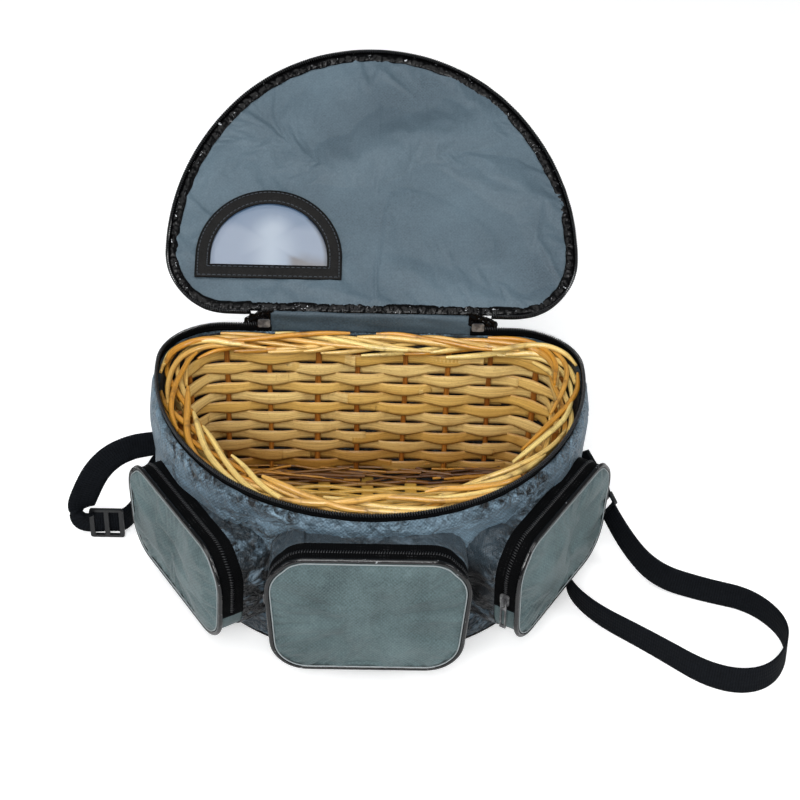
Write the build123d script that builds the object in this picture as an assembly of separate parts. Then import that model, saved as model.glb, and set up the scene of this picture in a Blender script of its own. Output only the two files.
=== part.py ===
from build123d import *
from math import cos, radians, sin, sqrt, tan
import os

# Soft fishing creel: a cloth bag with a zipped lid round a woven willow basket.
# Millimetres. +Z is up, -Y is the front, +X is the wearer's left-hand side seen
# from the front. The origin lies on the floor under the middle of the bag.

# ---------------------------------------------------------------- driving sizes
# plan of the bag: a D with a straight back, drawn at the rim
bag_width = 370.0
corner_radius = 58.0
side_radius = 218.0
front_turn = 41.6          # where the side arc hands over to the front arc, degrees
corner_turn = 1.3          # where the corner arc hands over to the side arc, degrees
bag_height = 152.0
base_inset = 7.0           # the walls draw in by this much at the floor
cloth_wall = 4.0           # padded cloth of the wall
seat_gap = 0.3             # play between soft pieces that lie on each other

base_thick = 5.0
base_pipe_radius = 2.3

# zip round the mouth
tape_thick = 1.2
tape_height = 7.0          # each half, beyond the cloth
coil_thick = 2.6
coil_height = 2.0
zip_parting = 3.0          # between the two halves, lid down and zip undone
hinge_half_width = 88.0
zip_end_gap = 7.5          # from the hinge cloth to the middle of a parked slider
hinge_thick = 1.6

# lid
lid_open_angle = 144.0     # from shut to leaning back on its stop
lid_back_inset = 6.0       # the stiff panel stops short of the fold
lid_panel_thick = 6.0
lid_edge = 2.0             # bevel of the panel's outer edge
lining_thick = 0.9
binding_width = 11.0
binding_thick = 1.6
window_width = 131.0
window_height = 86.0
window_x = -93.0
window_from_fold = 33.0
window_frame_width = 13.0
window_frame_thick = 1.3
window_film_thick = 0.4

# basket
basket_gap = 16.5          # from the bag's outline to the middle of the woven wall
stake_count = 24
stake_diameter = 5.0
strip_height = 9.7
strip_thick = 1.5
strip_flat = 5.0           # half the length of strip that lies on a stake
row_count = 12
row_pitch = 10.5
first_row_z = 14.0
weave_gap = 0.7
border_rod_diameter = 5.4
border_rod_reach = 2.4     # length of a border rod, in stake spacings
border_swing = 9.0         # a border rod crosses this far either side of the wall
border_steps = 5
base_stick_width = 11.0
base_stick_thick = 2.4
base_stick_pitch = 40.0
base_rod_pitch = 13.5
base_rod_width = 9.0
base_rod_thick = 2.2

# pockets
front_pocket_width = 158.0      # at the top of the face
side_pocket_width = 164.0
pocket_taper = 14.0            # narrower at the bottom by this much
pocket_corner_radius = 27.0
pocket_crown = 6.0
pocket_cloth = 1.6
pocket_room_depth = 90.0
pocket_face_thick = 2.6
pocket_zip_width = 20.0
pocket_pipe_radius = 1.9
front_pocket_low = 28.0
front_pocket_high = 140.0
front_pocket_reach = 162.0     # from the middle of the bag to the pocket's face
side_pocket_low = 30.5
left_pocket_high = 120.0
right_pocket_high = 129.0
side_pocket_reach = 175.0
side_pocket_turn = 58.0        # from the front, degrees
left_pocket_shift = 18.0       # towards the back along its face
right_pocket_shift = 22.0
pocket_zip_drop = 62.0         # the zips run down the sides this far
pocket_slide_travel = 24.0

# sliders and pulls
slider_width = 8.0
slider_length = 11.0
slider_plate = 1.2
bridge_width = 2.0
bridge_bar = 1.0
bridge_rise = 2.4
pull_bar_radius = 0.7
pull_arm = 1.3
pull_clear = 0.4
pull_length = 30.0
lid_pull_length = 20.0

# shoulder strap
webbing_width = 25.0
webbing_thick = 2.0
strap_end_gap = 0.2
ring_wire = 3.0
ring_depth = 12.0
patch_thick = 2.4
patch_length = 40.0
patch_height = 36.0
patch_y = 50.0
patch_z = 88.0
buckle_length = 30.0
buckle_height = 31.0
buckle_thick = 3.0
buckle_bar = 4.0

# ---------------------------------------------------------------- derived sizes
side_centre_x = bag_width / 2 - side_radius
corner_x = side_centre_x + (side_radius - corner_radius) * cos(radians(corner_turn))
side_drop = corner_radius + (side_radius - corner_radius) * sin(radians(corner_turn))
front_radius = side_radius + side_centre_x / cos(radians(front_turn))
front_drop = side_drop + (side_radius - front_radius) * sin(radians(front_turn))
bag_depth = front_drop + front_radius
back_y = bag_depth / 2

# centre x, centre y, radius, first angle and last angle, clockwise from the back
right_arcs = [
    (corner_x, back_y - corner_radius, corner_radius, 90.0, corner_turn),
    (side_centre_x, back_y - side_drop, side_radius, corner_turn, -front_turn),
    (0.0, back_y - front_drop, front_radius, -front_turn, -90.0),
]

body_tape_top = bag_height + tape_height
lid_tape_low = body_tape_top + zip_parting
lid_low = lid_tape_low + tape_height - 1.0
fold_z = lid_low
zip_mid_z = (body_tape_top + lid_tape_low) / 2
slider_x = hinge_half_width + zip_end_gap
fold_axis = Axis((0, back_y, fold_z), (1, 0, 0))


# ---------------------------------------------------------------- plan helpers
def bag_outline(grow=0.0):
    """The D of the bag's plan as a closed wire, grown outwards all round."""
    edges = [Line((-corner_x, back_y + grow), (corner_x, back_y + grow))]
    for x, y, radius, first, last in right_arcs:
        edges.append(CenterArc((x, y), radius + grow, first, last - first))
    for x, y, radius, first, last in reversed(right_arcs):
        edges.append(CenterArc((-x, y), radius + grow, 180 - last, last - first))
    return Wire(edges)


def plate(low, high, grow):
    """A flat D between two heights."""
    return extrude(Pos(0, 0, low) * Face(bag_outline(grow)), high - low, dir=(0, 0, 1))


def band(low, high, outer, inner):
    """A D ring between two heights and two outlines."""
    ring = Face(bag_outline(outer)) - Face(bag_outline(inner))
    return extrude(Pos(0, 0, low) * ring, high - low, dir=(0, 0, 1))


def lean(z):
    """How far the wall stands in from the rim's outline at a height."""
    return base_inset * (z / bag_height - 1)


def tapered(low, high, grow):
    """A solid D whose side follows the lean of the bag's wall."""
    bottom = Pos(0, 0, low) * Face(bag_outline(grow + lean(low)))
    top = Pos(0, 0, high) * Face(bag_outline(grow + lean(high)))
    return loft([bottom, top], ruled=True)


def half_width(y, grow):
    """Half the width of the grown D at one y."""
    for x, centre_y, radius, first, last in right_arcs:
        low = centre_y + (radius + grow) * sin(radians(last))
        high = centre_y + (radius + grow) * sin(radians(first))
        if low <= y <= high:
            return x + sqrt((radius + grow) ** 2 - (y - centre_y) ** 2)
    return 0.0


wall_line = bag_outline(-basket_gap)
stake_pitch = wall_line.length / stake_count


def wall_frame(distance):
    """Point and outward direction on the basket's wall line, a distance round from its start."""
    along = distance % wall_line.length
    point = wall_line.position_at(along, position_mode=PositionMode.LENGTH)
    run = wall_line.tangent_at(along, position_mode=PositionMode.LENGTH)
    return point, Vector(-run.Y, run.X, 0)


def wall_point(distance, outward, z):
    point, out = wall_frame(distance)
    spot = point + out * outward
    return Vector(spot.X, spot.Y, z)


def piping(path, radius):
    """Covered cord along a closed seam; six-sided."""
    section = RegularPolygon(radius, 6)
    return sweep(Plane(path @ 0, z_dir=path % 0) * section, path)


# ---------------------------------------------------------------- cloth body
def bag_base():
    return plate(0, base_thick, lean(0) - 2 * base_pipe_radius)


def base_piping():
    path = Pos(0, 0, base_pipe_radius) * bag_outline(lean(0) - base_pipe_radius + seat_gap)
    return piping(path, base_pipe_radius)


def bag_wall():
    low = base_thick + seat_gap
    high = bag_height
    return tapered(low, high, 0) - tapered(low - 1, high + 1, -cloth_wall)


def mouth_tape(low, high, coil_at, from_hinge):
    """One half of the mouth zip: a cloth band with its coil along the meeting edge."""
    cloth = band(low, high, -seat_gap, -seat_gap - tape_thick)
    middle = -seat_gap - tape_thick / 2
    coil = band(coil_at, coil_at + coil_height, middle + coil_thick / 2, middle - coil_thick / 2)
    gap = Pos(0, back_y, low) * Box(2 * from_hinge, corner_radius, corner_radius)
    return cloth + coil - gap


def bag_zip_tape():
    low = bag_height + seat_gap
    return mouth_tape(low, body_tape_top, body_tape_top - coil_height, hinge_half_width + seat_gap)


def hinge_panel():
    low = bag_height + seat_gap
    high = fold_z - seat_gap / 2
    strip = Box(2 * hinge_half_width, hinge_thick, high - low)
    return Pos(0, back_y - seat_gap - hinge_thick / 2, (low + high) / 2) * strip


# ---------------------------------------------------------------- lid, drawn shut
def window_outline(grow):
    """D-shaped window: an arch on a straight foot that runs along the fold."""
    radius = window_width / 2 + grow
    foot = back_y - window_from_fold + grow
    shoulder = back_y - window_from_fold - window_height + window_width / 2
    left = window_x - radius
    right = window_x + radius
    sides = Polyline((left, shoulder), (left, foot), (right, foot), (right, shoulder))
    arch = ThreePointArc((right, shoulder), (window_x, shoulder - radius), (left, shoulder))
    return make_face(sides + arch)


def window_cut(low, high):
    return extrude(Pos(0, 0, low) * window_outline(-window_frame_width), high - low, dir=(0, 0, 1))


def fold_relief():
    """Room along the fold, where only soft cloth joins the lid to the bag."""
    return Pos(0, back_y, fold_z) * Box(2 * bag_width, 2 * lid_back_inset, bag_height)


lining_z = lid_low - lining_thick - seat_gap
binding_z = lining_z - binding_thick - seat_gap
film_z = lining_z - window_film_thick - seat_gap
frame_z = film_z - window_frame_thick - seat_gap


def opened(piece):
    """Swing a piece of the shut lid back to its open stop."""
    return piece.rotate(fold_axis, -lid_open_angle)


def lid_flap():
    """The hinge cloth beyond the fold, up to the edge of the stiff panel."""
    reach = lid_back_inset - 1.5 * seat_gap
    strip = Box(2 * hinge_half_width, reach, hinge_thick)
    return Pos(0, back_y - (reach + seat_gap) / 2, fold_z + (hinge_thick + seat_gap) / 2) * strip


def lid_panel():
    block = plate(lid_low, lid_low + lid_panel_thick, 0) - fold_relief()
    top = block.faces().sort_by(Axis.Z)[-1]
    block = chamfer(top.edges(), lid_edge)
    return block - window_cut(lid_low - 1, lid_low + lid_panel_thick + 1)


def lid_lining():
    sheet = plate(lining_z, lining_z + lining_thick, -tape_thick - 2 * seat_gap) - fold_relief()
    return sheet - window_cut(lining_z - 1, lining_z + 2)


def lid_binding():
    outer = -tape_thick - 3 * seat_gap - coil_thick / 2
    ring = band(binding_z, binding_z + binding_thick, outer, outer - binding_width)
    bar_y = back_y - lid_back_inset - binding_width / 2
    inner_half = half_width(bar_y, outer)
    foot = Pos(0, bar_y, binding_z + binding_thick / 2)
    bar = foot * Box(2 * inner_half, binding_width, binding_thick)
    return ring - fold_relief() + (bar & plate(binding_z, binding_z + binding_thick, outer))


def lid_zip_tape():
    high = lid_low - seat_gap
    return mouth_tape(lid_tape_low, high, lid_tape_low, slider_x + slider_length)


def window_frame(z):
    ring = window_outline(0) - window_outline(-window_frame_width)
    return extrude(Pos(0, 0, z) * ring, window_frame_thick, dir=(0, 0, 1))


def window_film():
    sheet = window_outline(-seat_gap * 5)
    return extrude(Pos(0, 0, film_z) * sheet, window_film_thick, dir=(0, 0, 1))


# ---------------------------------------------------------------- basket
def row_ring(row):
    """One flat strip woven in and out of the stakes."""
    swing = (stake_diameter + strip_thick) / 2 + weave_gap
    low = first_row_z + row * row_pitch
    base = lean(low + strip_height / 2)
    outer = []
    inner = []
    for stake in range(stake_count):
        side = 1 if (stake + row) % 2 else -1
        for step in (-strip_flat, strip_flat):
            distance = stake * stake_pitch + step
            middle = base + side * swing
            outer.append(wall_point(distance, middle + strip_thick / 2, low))
            inner.append(wall_point(distance, middle - strip_thick / 2, low))
    ring = make_face(Polyline(*outer, close=True)) - make_face(Polyline(*inner, close=True))
    return extrude(ring, strip_height, dir=(0, 0, 1))


def hexagon(centre, out, up, radius):
    corners = []
    for step in range(6):
        turn = radians(60 * step)
        corners.append(centre + out * (radius * cos(turn)) + up * (radius * sin(turn)))
    return Face(Wire.make_polygon(corners, close=True))


def rod(points, outs, up, radius):
    """A rod with a six-sided section through a row of points."""
    sections = [hexagon(point, out, up, radius) for point, out in zip(points, outs)]
    return loft(sections, ruled=True)


border_low_z = first_row_z + row_count * row_pitch + border_rod_diameter
border_high_z = border_low_z + border_rod_diameter + 1.0
stake_low_z = base_thick + seat_gap + base_rod_thick + base_stick_thick


def stakes():
    """Upright willow stakes, leaning with the wall."""
    rods = []
    high = border_low_z - border_rod_diameter / 2 - seat_gap
    for stake in range(stake_count):
        distance = stake * stake_pitch
        _, out = wall_frame(distance)
        run = Vector(out.Y, -out.X, 0)
        ends = [wall_point(distance, lean(z), z) for z in (stake_low_z, high)]
        rods.append(rod(ends, [out, out], run, stake_diameter / 2))
    return Compound(children=rods)


def border_rods(z, start_side):
    """A flat lay of rods along the rim, each crossing from one face of the wall to the other."""
    rods = []
    reach = border_rod_reach * stake_pitch
    for stake in range(stake_count):
        points = []
        outs = []
        for step in range(border_steps + 1):
            share = step / border_steps
            distance = stake * stake_pitch + share * reach
            across = start_side * border_swing * (1 - 2 * share)
            points.append(wall_point(distance, across, z))
            outs.append(wall_frame(distance)[1])
        rods.append(rod(points, outs, Vector(0, 0, 1), border_rod_diameter / 2))
    return Compound(children=rods)


base_weave_z = base_thick + seat_gap + base_rod_thick + base_stick_thick / 2 + weave_gap
basket_floor_grow = lean(0) - basket_gap - stake_diameter


def stick_places():
    count = int(half_width(0, basket_floor_grow) / base_stick_pitch)
    return [index * base_stick_pitch for index in range(-count, count + 1)]


def base_sticks():
    """Flat sticks of the basket's floor, front to back."""
    sticks = []
    for x in stick_places():
        bar = Pos(x, 0, base_weave_z) * Box(base_stick_width, 2 * bag_depth, base_stick_thick)
        sticks.append(bar & plate(0, bag_height / 2, basket_floor_grow))
    return Compound(children=sticks)


def base_rod(y, phase):
    """One rod of the basket's floor, over and under the sticks from side to side."""
    reach = half_width(y - base_rod_width / 2 if y < 0 else y + base_rod_width / 2, basket_floor_grow)
    swing = (base_stick_thick + base_rod_thick) / 2 + weave_gap / 2
    line = []
    for index, x in enumerate(stick_places()):
        side = 1 if (index + phase) % 2 else -1
        if abs(x) + base_stick_width < reach:
            line.append((x - base_stick_width / 2, side * swing))
            line.append((x + base_stick_width / 2, side * swing))
    line = [(-reach, line[0][1])] + line + [(reach, line[-1][1])]
    upper = [(x, z + base_rod_thick / 2) for x, z in line]
    lower = [(x, z - base_rod_thick / 2) for x, z in reversed(line)]
    side_view = Plane((0, y + base_rod_width / 2, base_weave_z), x_dir=(1, 0, 0), z_dir=(0, -1, 0))
    return extrude(side_view * make_face(Polyline(*upper, *lower, close=True)), base_rod_width)


def base_rods():
    rods = []
    front = -back_y - basket_floor_grow + base_rod_width
    back = back_y + basket_floor_grow - base_rod_width
    count = int((back - front) / base_rod_pitch)
    for index in range(count + 1):
        y = front + index * (back - front) / count
        if half_width(y - base_rod_width / 2, basket_floor_grow) > base_stick_pitch:
            rods.append(base_rod(y, index))
    return Compound(children=rods)


# ---------------------------------------------------------------- pockets
def pocket_shape(width, low, high):
    """Pocket face seen from outside: wider at the top, with a crowned upper edge."""
    shoulder = high - pocket_crown
    top = width / 2
    bottom = (width - pocket_taper) / 2
    sides = Polyline((-top, shoulder), (-bottom, low), (bottom, low), (top, shoulder))
    crown = ThreePointArc((top, shoulder), (0, high), (-top, shoulder))
    face = make_face(sides + crown)
    return fillet(face.vertices(), pocket_corner_radius)


def pocket_plane(turn, reach, shift):
    """Upright plane of a pocket's face; local X runs to the right, local Y up, local Z out."""
    out = Vector(sin(radians(turn)), -cos(radians(turn)), 0)
    right = Vector(cos(radians(turn)), sin(radians(turn)), 0)
    return Plane(out * reach + right * shift, x_dir=right, z_dir=out)


def zip_zone(high):
    """Where the zip replaces the gusset's cloth: along the top and part way down the sides."""
    centre_y = high - pocket_zip_drop + bag_height / 2
    return Pos(0, centre_y, -pocket_zip_width / 2) * Box(bag_width, bag_height, pocket_zip_width)


def pocket_room(plane, width, low, high):
    """The whole room that a pocket takes, back to inside the bag's wall."""
    return plane * extrude(offset(pocket_shape(width, low, high), seat_gap), -pocket_room_depth)


def pocket(plane, width, low, high, neighbour):
    """Gusset, zip, face and piping of one pocket, clear of the pocket beside it."""
    shape = pocket_shape(width, low, high)
    ring = shape - offset(shape, -pocket_cloth)
    sleeve = extrude(ring, -pocket_room_depth)
    bag = tapered(-5, bag_height + 20, seat_gap / 2)
    gusset = plane * (sleeve - zip_zone(high)) - bag
    if neighbour:
        gusset -= neighbour
    tape = sleeve & zip_zone(high)
    coil_face = offset(shape, coil_height / 2) - offset(shape, -pocket_cloth)
    coil = extrude(Pos(0, 0, -pocket_zip_width / 2 - coil_thick / 2) * coil_face, coil_thick)
    tape = tape + (coil & zip_zone(high))
    face = extrude(Pos(0, 0, seat_gap) * shape, pocket_face_thick)
    face = chamfer(face.faces().sort_by(Axis.Z)[-1].edges(), pocket_face_thick / 3)
    pipe_path = (Pos(0, 0, pocket_pipe_radius / 2) * offset(shape, pocket_pipe_radius + 0.1)).face().outer_wire()
    return gusset, plane * tape, plane * face, plane * piping(pipe_path, pocket_pipe_radius)


def pocket_slider_plane(plane, width, low, high):
    """Where a pocket's slider is parked: on its left-hand side, at the lower end of the zip."""
    rise = high - pocket_crown - low
    spread = pocket_taper / 2
    up = Vector(-spread, rise, 0).normalized()
    out = Vector(-up.Y, up.X, 0)
    height = high - pocket_zip_drop + slider_length
    edge = Vector(-(width - pocket_taper) / 2 - spread * (height - low) / rise, height, 0)
    spot = edge + out * (coil_height / 2 + seat_gap) + Vector(0, 0, -pocket_zip_width / 2)
    across = up.cross(out)
    frame = Plane(spot, x_dir=across, z_dir=out)
    return plane * frame.location


# ---------------------------------------------------------------- sliders
bar_height = slider_plate + pull_clear + pull_bar_radius


def slider_cap():
    """Top plate of a slider with its bridge; local Y runs along the zip, local Z out."""
    body = Pos(0, 0, slider_plate / 2) * Box(slider_width, slider_length, slider_plate)
    body = fillet(body.edges().filter_by(Axis.Z), 1.8)
    rise = bridge_rise + bridge_bar
    hoop = Pos(0, 0, slider_plate + rise / 2) * Box(bridge_width, slider_length - 2, rise)
    eye = Pos(0, 0, slider_plate + bridge_rise / 2) * Box(2 * bridge_width, slider_length - 5, bridge_rise)
    return body + hoop - eye


def mouth_slider():
    """Slider of the mouth zip: two plates joined by a wedge that rides between the coils."""
    inside = coil_thick + 2 * seat_gap
    lower = Pos(0, 0, -inside - slider_plate / 2) * Box(slider_width, slider_length, slider_plate)
    lower = fillet(lower.edges().filter_by(Axis.Z), 1.8)
    wedge = Pos(0, 0, -inside / 2) * Box(zip_parting - 2 * seat_gap, slider_length * 0.6, inside)
    return slider_cap() + lower + wedge


def pull_tab(length):
    """Pull with a cross bar under the bridge; it hangs towards local -Y."""
    reach = bridge_width / 2 + pull_clear + pull_arm / 2
    bar = Pos(0, 0, bar_height) * Rot(0, 90, 0) * Cylinder(pull_bar_radius, 2 * reach)
    thick = 2 * pull_bar_radius
    eye_length = slider_length / 2 + 2
    arms = Pos(-reach, -eye_length / 2, bar_height) * Box(pull_arm, eye_length, thick)
    arms += Pos(reach, -eye_length / 2, bar_height) * Box(pull_arm, eye_length, thick)
    width = 2 * reach + pull_arm
    paddle = Pos(0, -eye_length - (length - eye_length) / 2, bar_height)
    grip = paddle * Box(width, length - eye_length, thick)
    slot = paddle * Box(width - 2 * pull_arm, length - eye_length - 6, 2 * thick)
    return bar + arms + grip - slot


# ---------------------------------------------------------------- shoulder strap
floor_z = webbing_width / 2 + 0.3
buckle_z = buckle_height / 2 + 0.3
strap_points = [
    (-180, 49, 88),
    (-210, 58, 88),
    (-240, 72, 70),
    (-264, 70, 40),
    (-268, 46, 20),
    (-248, 25, buckle_z),
    (-214, 25, buckle_z),
    (-203, 62, floor_z),
    (-200, 112, floor_z),
    (-160, 152, floor_z),
    (-82, 150, floor_z),
    (0, 158, floor_z),
    (82, 150, floor_z),
    (160, 152, floor_z),
    (200, 110, floor_z),
    (199, 52, floor_z),
    (184, 2, floor_z),
    (168, -38, floor_z),
    (188, -78, floor_z),
    (234, -114, floor_z),
    (286, -160, floor_z),
    (332, -156, floor_z),
    (358, -106, floor_z),
    (334, -62, floor_z),
    (288, -48, floor_z),
    (250, -34, 16),
    (226, -2, 28),
    (214, 20, 42),
]
strap_step = 15.0          # length of webbing between the strap's sections


def strap_route():
    """Straight runs joined by arcs as large as the runs allow."""
    points = [Vector(*point) for point in strap_points]
    radii = []
    for before, here, after in zip(points, points[1:], points[2:]):
        turn = radians((here - before).get_angle(after - here))
        shorter = min((here - before).length, (after - here).length)
        radii.append(0.45 * shorter / tan(turn / 2))
    print("strap radii", [round(radius) for radius in radii])
    return FilletPolyline(*points, radius=radii)


def webbing_section(centre, run, width=webbing_width, thick=webbing_thick):
    """Cross-section of webbing that stands on its edge as it runs."""
    run = run.normalized()
    side = run.cross(Vector(0, 0, 1)).normalized()
    up = side.cross(run)
    corners = [(1, 1), (-1, 1), (-1, -1), (1, -1)]
    return Face(Wire.make_polygon(
        [centre + side * (a * thick / 2) + up * (b * width / 2) for a, b in corners], close=True))


def strap_webbing():
    route = strap_route()
    count = round(route.length / strap_step)
    places = [index * route.length / count for index in range(count + 1)]
    sections = []
    for place in places:
        centre = route.position_at(place, position_mode=PositionMode.LENGTH)
        run = route.tangent_at(place, position_mode=PositionMode.LENGTH)
        sections.append(webbing_section(centre, run))
    strap = loft(sections, ruled=True)
    strap -= tapered(-5, bag_height, patch_thick + 1.5 * seat_gap)
    section_area = webbing_width * webbing_thick
    print("strap length", round(route.length), "volume ratio", strap.volume / (route.length * section_area))
    return strap


def strap_patch(side):
    """Stitched patch on the bag's side that carries one end of the strap."""
    skin = tapered(0, bag_height, seat_gap / 2 + patch_thick) - tapered(-5, bag_height + 5, seat_gap / 2)
    return skin & (Pos(side * bag_width / 2, patch_y, patch_z) * Box(60, patch_length, patch_height))


def strap_end():
    """Plane of the strap's end ring: local X runs on along the strap, local Y across the webbing."""
    last = Vector(*strap_points[-1])
    run = (last - Vector(*strap_points[-2])).normalized()
    side = run.cross(Vector(0, 0, 1)).normalized()
    return Plane(last, x_dir=run, z_dir=side)


def strap_ring():
    length = ring_depth
    width = webbing_width + 2 * ring_wire + 1
    ring = Box(length, width, ring_wire) - Box(length - 2 * ring_wire, webbing_width + 1, ring_wire)
    ring = fillet(ring.edges().filter_by(Axis.Z), 1.2)
    return (strap_end() * Pos(length / 2 + strap_end_gap, 0, 0)) * ring


def strap_link():
    """Short doubled tab from the ring up to the patch on the bag's right side."""
    end = strap_end()
    start = end.from_local_coords(Vector(ring_depth + 2 * strap_end_gap, 0, 0))
    wall = Vector(bag_width / 2 - 1.2, patch_y - 3, patch_z - 4)
    run = (wall - start).normalized()
    sections = [webbing_section(start, end.x_dir, thick=2 * webbing_thick),
                webbing_section(start + run * 12, run, thick=2 * webbing_thick),
                webbing_section(wall, run, thick=2 * webbing_thick)]
    return loft(sections, ruled=True) - tapered(-5, bag_height, patch_thick + 1.5 * seat_gap)


def strap_buckle():
    """Ladder buckle on the webbing near its left-hand end."""
    first = Vector(*strap_points[5])
    second = Vector(*strap_points[6])
    plate_size = Box(buckle_length, buckle_thick, buckle_height)
    slot_length = (buckle_length - 3 * buckle_bar) / 2
    slots = []
    for side in (-1, 1):
        slots.append(Pos(side * (slot_length + buckle_bar) / 2, 0, 0)
                     * Box(slot_length, buckle_thick, webbing_width + 1))
    frame = fillet(plate_size.edges().filter_by(Axis.Y), 2.5)
    frame = frame - slots[0] - slots[1]
    offset_y = -webbing_thick / 2 - buckle_thick / 2 - strap_end_gap
    middle = (first + second) * 0.5
    return Pos(middle.X, middle.Y + offset_y, middle.Z) * frame


def main():
    os.makedirs("parts", exist_ok=True)
    pieces = {
        "bag_base": bag_base(),
        "base_piping": base_piping(),
        "bag_wall": bag_wall(),
        "bag_zip_tape": bag_zip_tape(),
        "hinge_panel": hinge_panel(),
        "lid_flap": opened(lid_flap()),
        "lid_panel": opened(lid_panel()),
        "lid_lining": opened(lid_lining()),
        "lid_binding": opened(lid_binding()),
        "lid_zip_tape": opened(lid_zip_tape()),
        "lid_window_frame": opened(window_frame(frame_z)),
        "lid_window_trim": opened(window_frame(lid_low + lid_panel_thick + seat_gap)),
        "lid_window_film": opened(window_film()),
        "basket_stakes": stakes(),
        "basket_border_lower": border_rods(border_low_z, -1),
        "basket_border_upper": border_rods(border_high_z, 1),
        "basket_floor_sticks": base_sticks(),
        "basket_floor_rods": base_rods(),
    }
    for row in range(row_count):
        pieces[f"basket_row_{row + 1}"] = row_ring(row)
    front_size = (front_pocket_width, front_pocket_low, front_pocket_high)
    left_size = (side_pocket_width, side_pocket_low, left_pocket_high)
    right_size = (side_pocket_width, side_pocket_low, right_pocket_high)
    front_plane = pocket_plane(0, front_pocket_reach, 0)
    left_plane = pocket_plane(-side_pocket_turn, side_pocket_reach, -left_pocket_shift)
    right_plane = pocket_plane(side_pocket_turn, side_pocket_reach, right_pocket_shift)
    front_room = pocket_room(front_plane, *front_size)
    places = {
        "front": (front_plane, front_size, None),
        "left": (left_plane, left_size, front_room),
        "right": (right_plane, right_size, front_room),
    }
    for name, (plane, size, neighbour) in places.items():
        gusset, tape, face, piping = pocket(plane, *size, neighbour)
        pieces[f"pocket_{name}_gusset"] = gusset
        pieces[f"pocket_{name}_zip"] = tape
        pieces[f"pocket_{name}_face"] = face
        pieces[f"pocket_{name}_piping"] = piping
        spot = pocket_slider_plane(plane, *size)
        pieces[f"pocket_{name}_slider"] = spot * slider_cap()
        pieces[f"pocket_{name}_pull"] = spot * pull_tab(pull_length)
    for name, side in (("left", -1), ("right", 1)):
        plane = Plane((side * slider_x, back_y - seat_gap - tape_thick / 2 + coil_thick / 2 + seat_gap, zip_mid_z),
                      x_dir=(0, 0, side), z_dir=(0, 1, 0))
        pieces[f"lid_slider_{name}"] = plane.location * mouth_slider()
        pieces[f"lid_pull_{name}"] = plane.location * pull_tab(lid_pull_length)
    pieces["strap_webbing"] = strap_webbing()
    pieces["strap_patch_left"] = strap_patch(-1)
    pieces["strap_patch_right"] = strap_patch(1)
    pieces["strap_ring"] = strap_ring()
    pieces["strap_link"] = strap_link()
    pieces["strap_buckle"] = strap_buckle()
    for name, piece in pieces.items():
        export_step(piece, f"parts/{name}.step")


main()
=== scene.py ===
# %% [markdown]
# # A soft fishing creel
# A creel is the bag that an angler carries fish home in. This one is an old idea in new cloth:
# a hand-woven willow basket stands inside a sewn nylon bag with a zipped lid, three pockets and
# a shoulder strap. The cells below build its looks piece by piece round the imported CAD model,
# in metres, with +Z up and the front of the bag towards -Y.

# %% Load the frame
import bisect
import math
import random

import bmesh
import bpy
from mathutils import Matrix, Vector, noise


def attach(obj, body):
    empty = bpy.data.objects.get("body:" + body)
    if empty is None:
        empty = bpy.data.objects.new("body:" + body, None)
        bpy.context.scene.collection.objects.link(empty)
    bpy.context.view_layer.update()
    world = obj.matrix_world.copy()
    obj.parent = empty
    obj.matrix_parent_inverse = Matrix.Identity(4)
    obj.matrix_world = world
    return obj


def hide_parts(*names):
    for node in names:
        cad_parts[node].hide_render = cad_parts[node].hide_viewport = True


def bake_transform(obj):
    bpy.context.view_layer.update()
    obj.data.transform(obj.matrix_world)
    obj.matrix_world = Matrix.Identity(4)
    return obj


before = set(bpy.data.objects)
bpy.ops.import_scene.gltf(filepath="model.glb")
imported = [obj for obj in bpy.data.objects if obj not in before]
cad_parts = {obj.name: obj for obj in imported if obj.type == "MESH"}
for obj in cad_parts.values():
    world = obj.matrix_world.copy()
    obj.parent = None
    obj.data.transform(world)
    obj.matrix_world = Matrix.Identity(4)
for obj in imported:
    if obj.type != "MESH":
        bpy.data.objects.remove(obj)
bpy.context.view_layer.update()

# %% [markdown]
# ## The plan of the bag
# Every sewn piece follows one D: a straight back, two tight corners, two long side curves and a
# rounder front. A maker cuts it once in card and grows or shrinks it for each layer, so the
# same outline is walked here by distance, with a step outwards for cloth, lining or basket.

# %% Walk the D outline
BACK_Y = 0.1324
RIM_Z = 0.152
FOLD_Z = 0.168
ARCS = [
    (0.12696, 0.0744, 0.058, math.radians(90.0), math.radians(1.3)),
    (-0.033, 0.07077, 0.218, math.radians(1.3), math.radians(-41.6)),
    (0.0, 0.04147, 0.17387, math.radians(-41.6), math.radians(-90.0)),
]


class Outline:
    """The D at one offset, walked clockwise from the back left corner."""

    def __init__(self, grow=0.0):
        arcs = [(x, y, r + grow, first, last) for x, y, r, first, last in ARCS]
        arcs += [(-x, y, r, math.pi - last, math.pi - first) for x, y, r, first, last in reversed(arcs)]
        self.arcs = arcs
        self.grow = grow
        self.back = 2 * ARCS[0][0]
        self.length = self.back + sum(r * (first - last) for _, _, r, first, last in arcs)

    def at(self, distance, outward=0.0, z=0.0):
        """Point and outward direction at a distance round the D."""
        distance %= self.length
        if distance < self.back:
            out = Vector((0, 1, 0))
            return Vector((distance - self.back / 2, BACK_Y + self.grow + outward, z)), out
        distance -= self.back
        for x, y, radius, first, last in self.arcs:
            span = radius * (first - last)
            if distance <= span:
                break
            distance -= span
        else:
            distance = span
        turn = first - distance / radius
        out = Vector((math.cos(turn), math.sin(turn), 0))
        return Vector((x, y, z)) + out * (radius + outward), out


def lean(z):
    """How far the wall stands in at a height: it draws in by 7 mm at the floor."""
    return 0.007 * (z / RIM_Z - 1)


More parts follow.
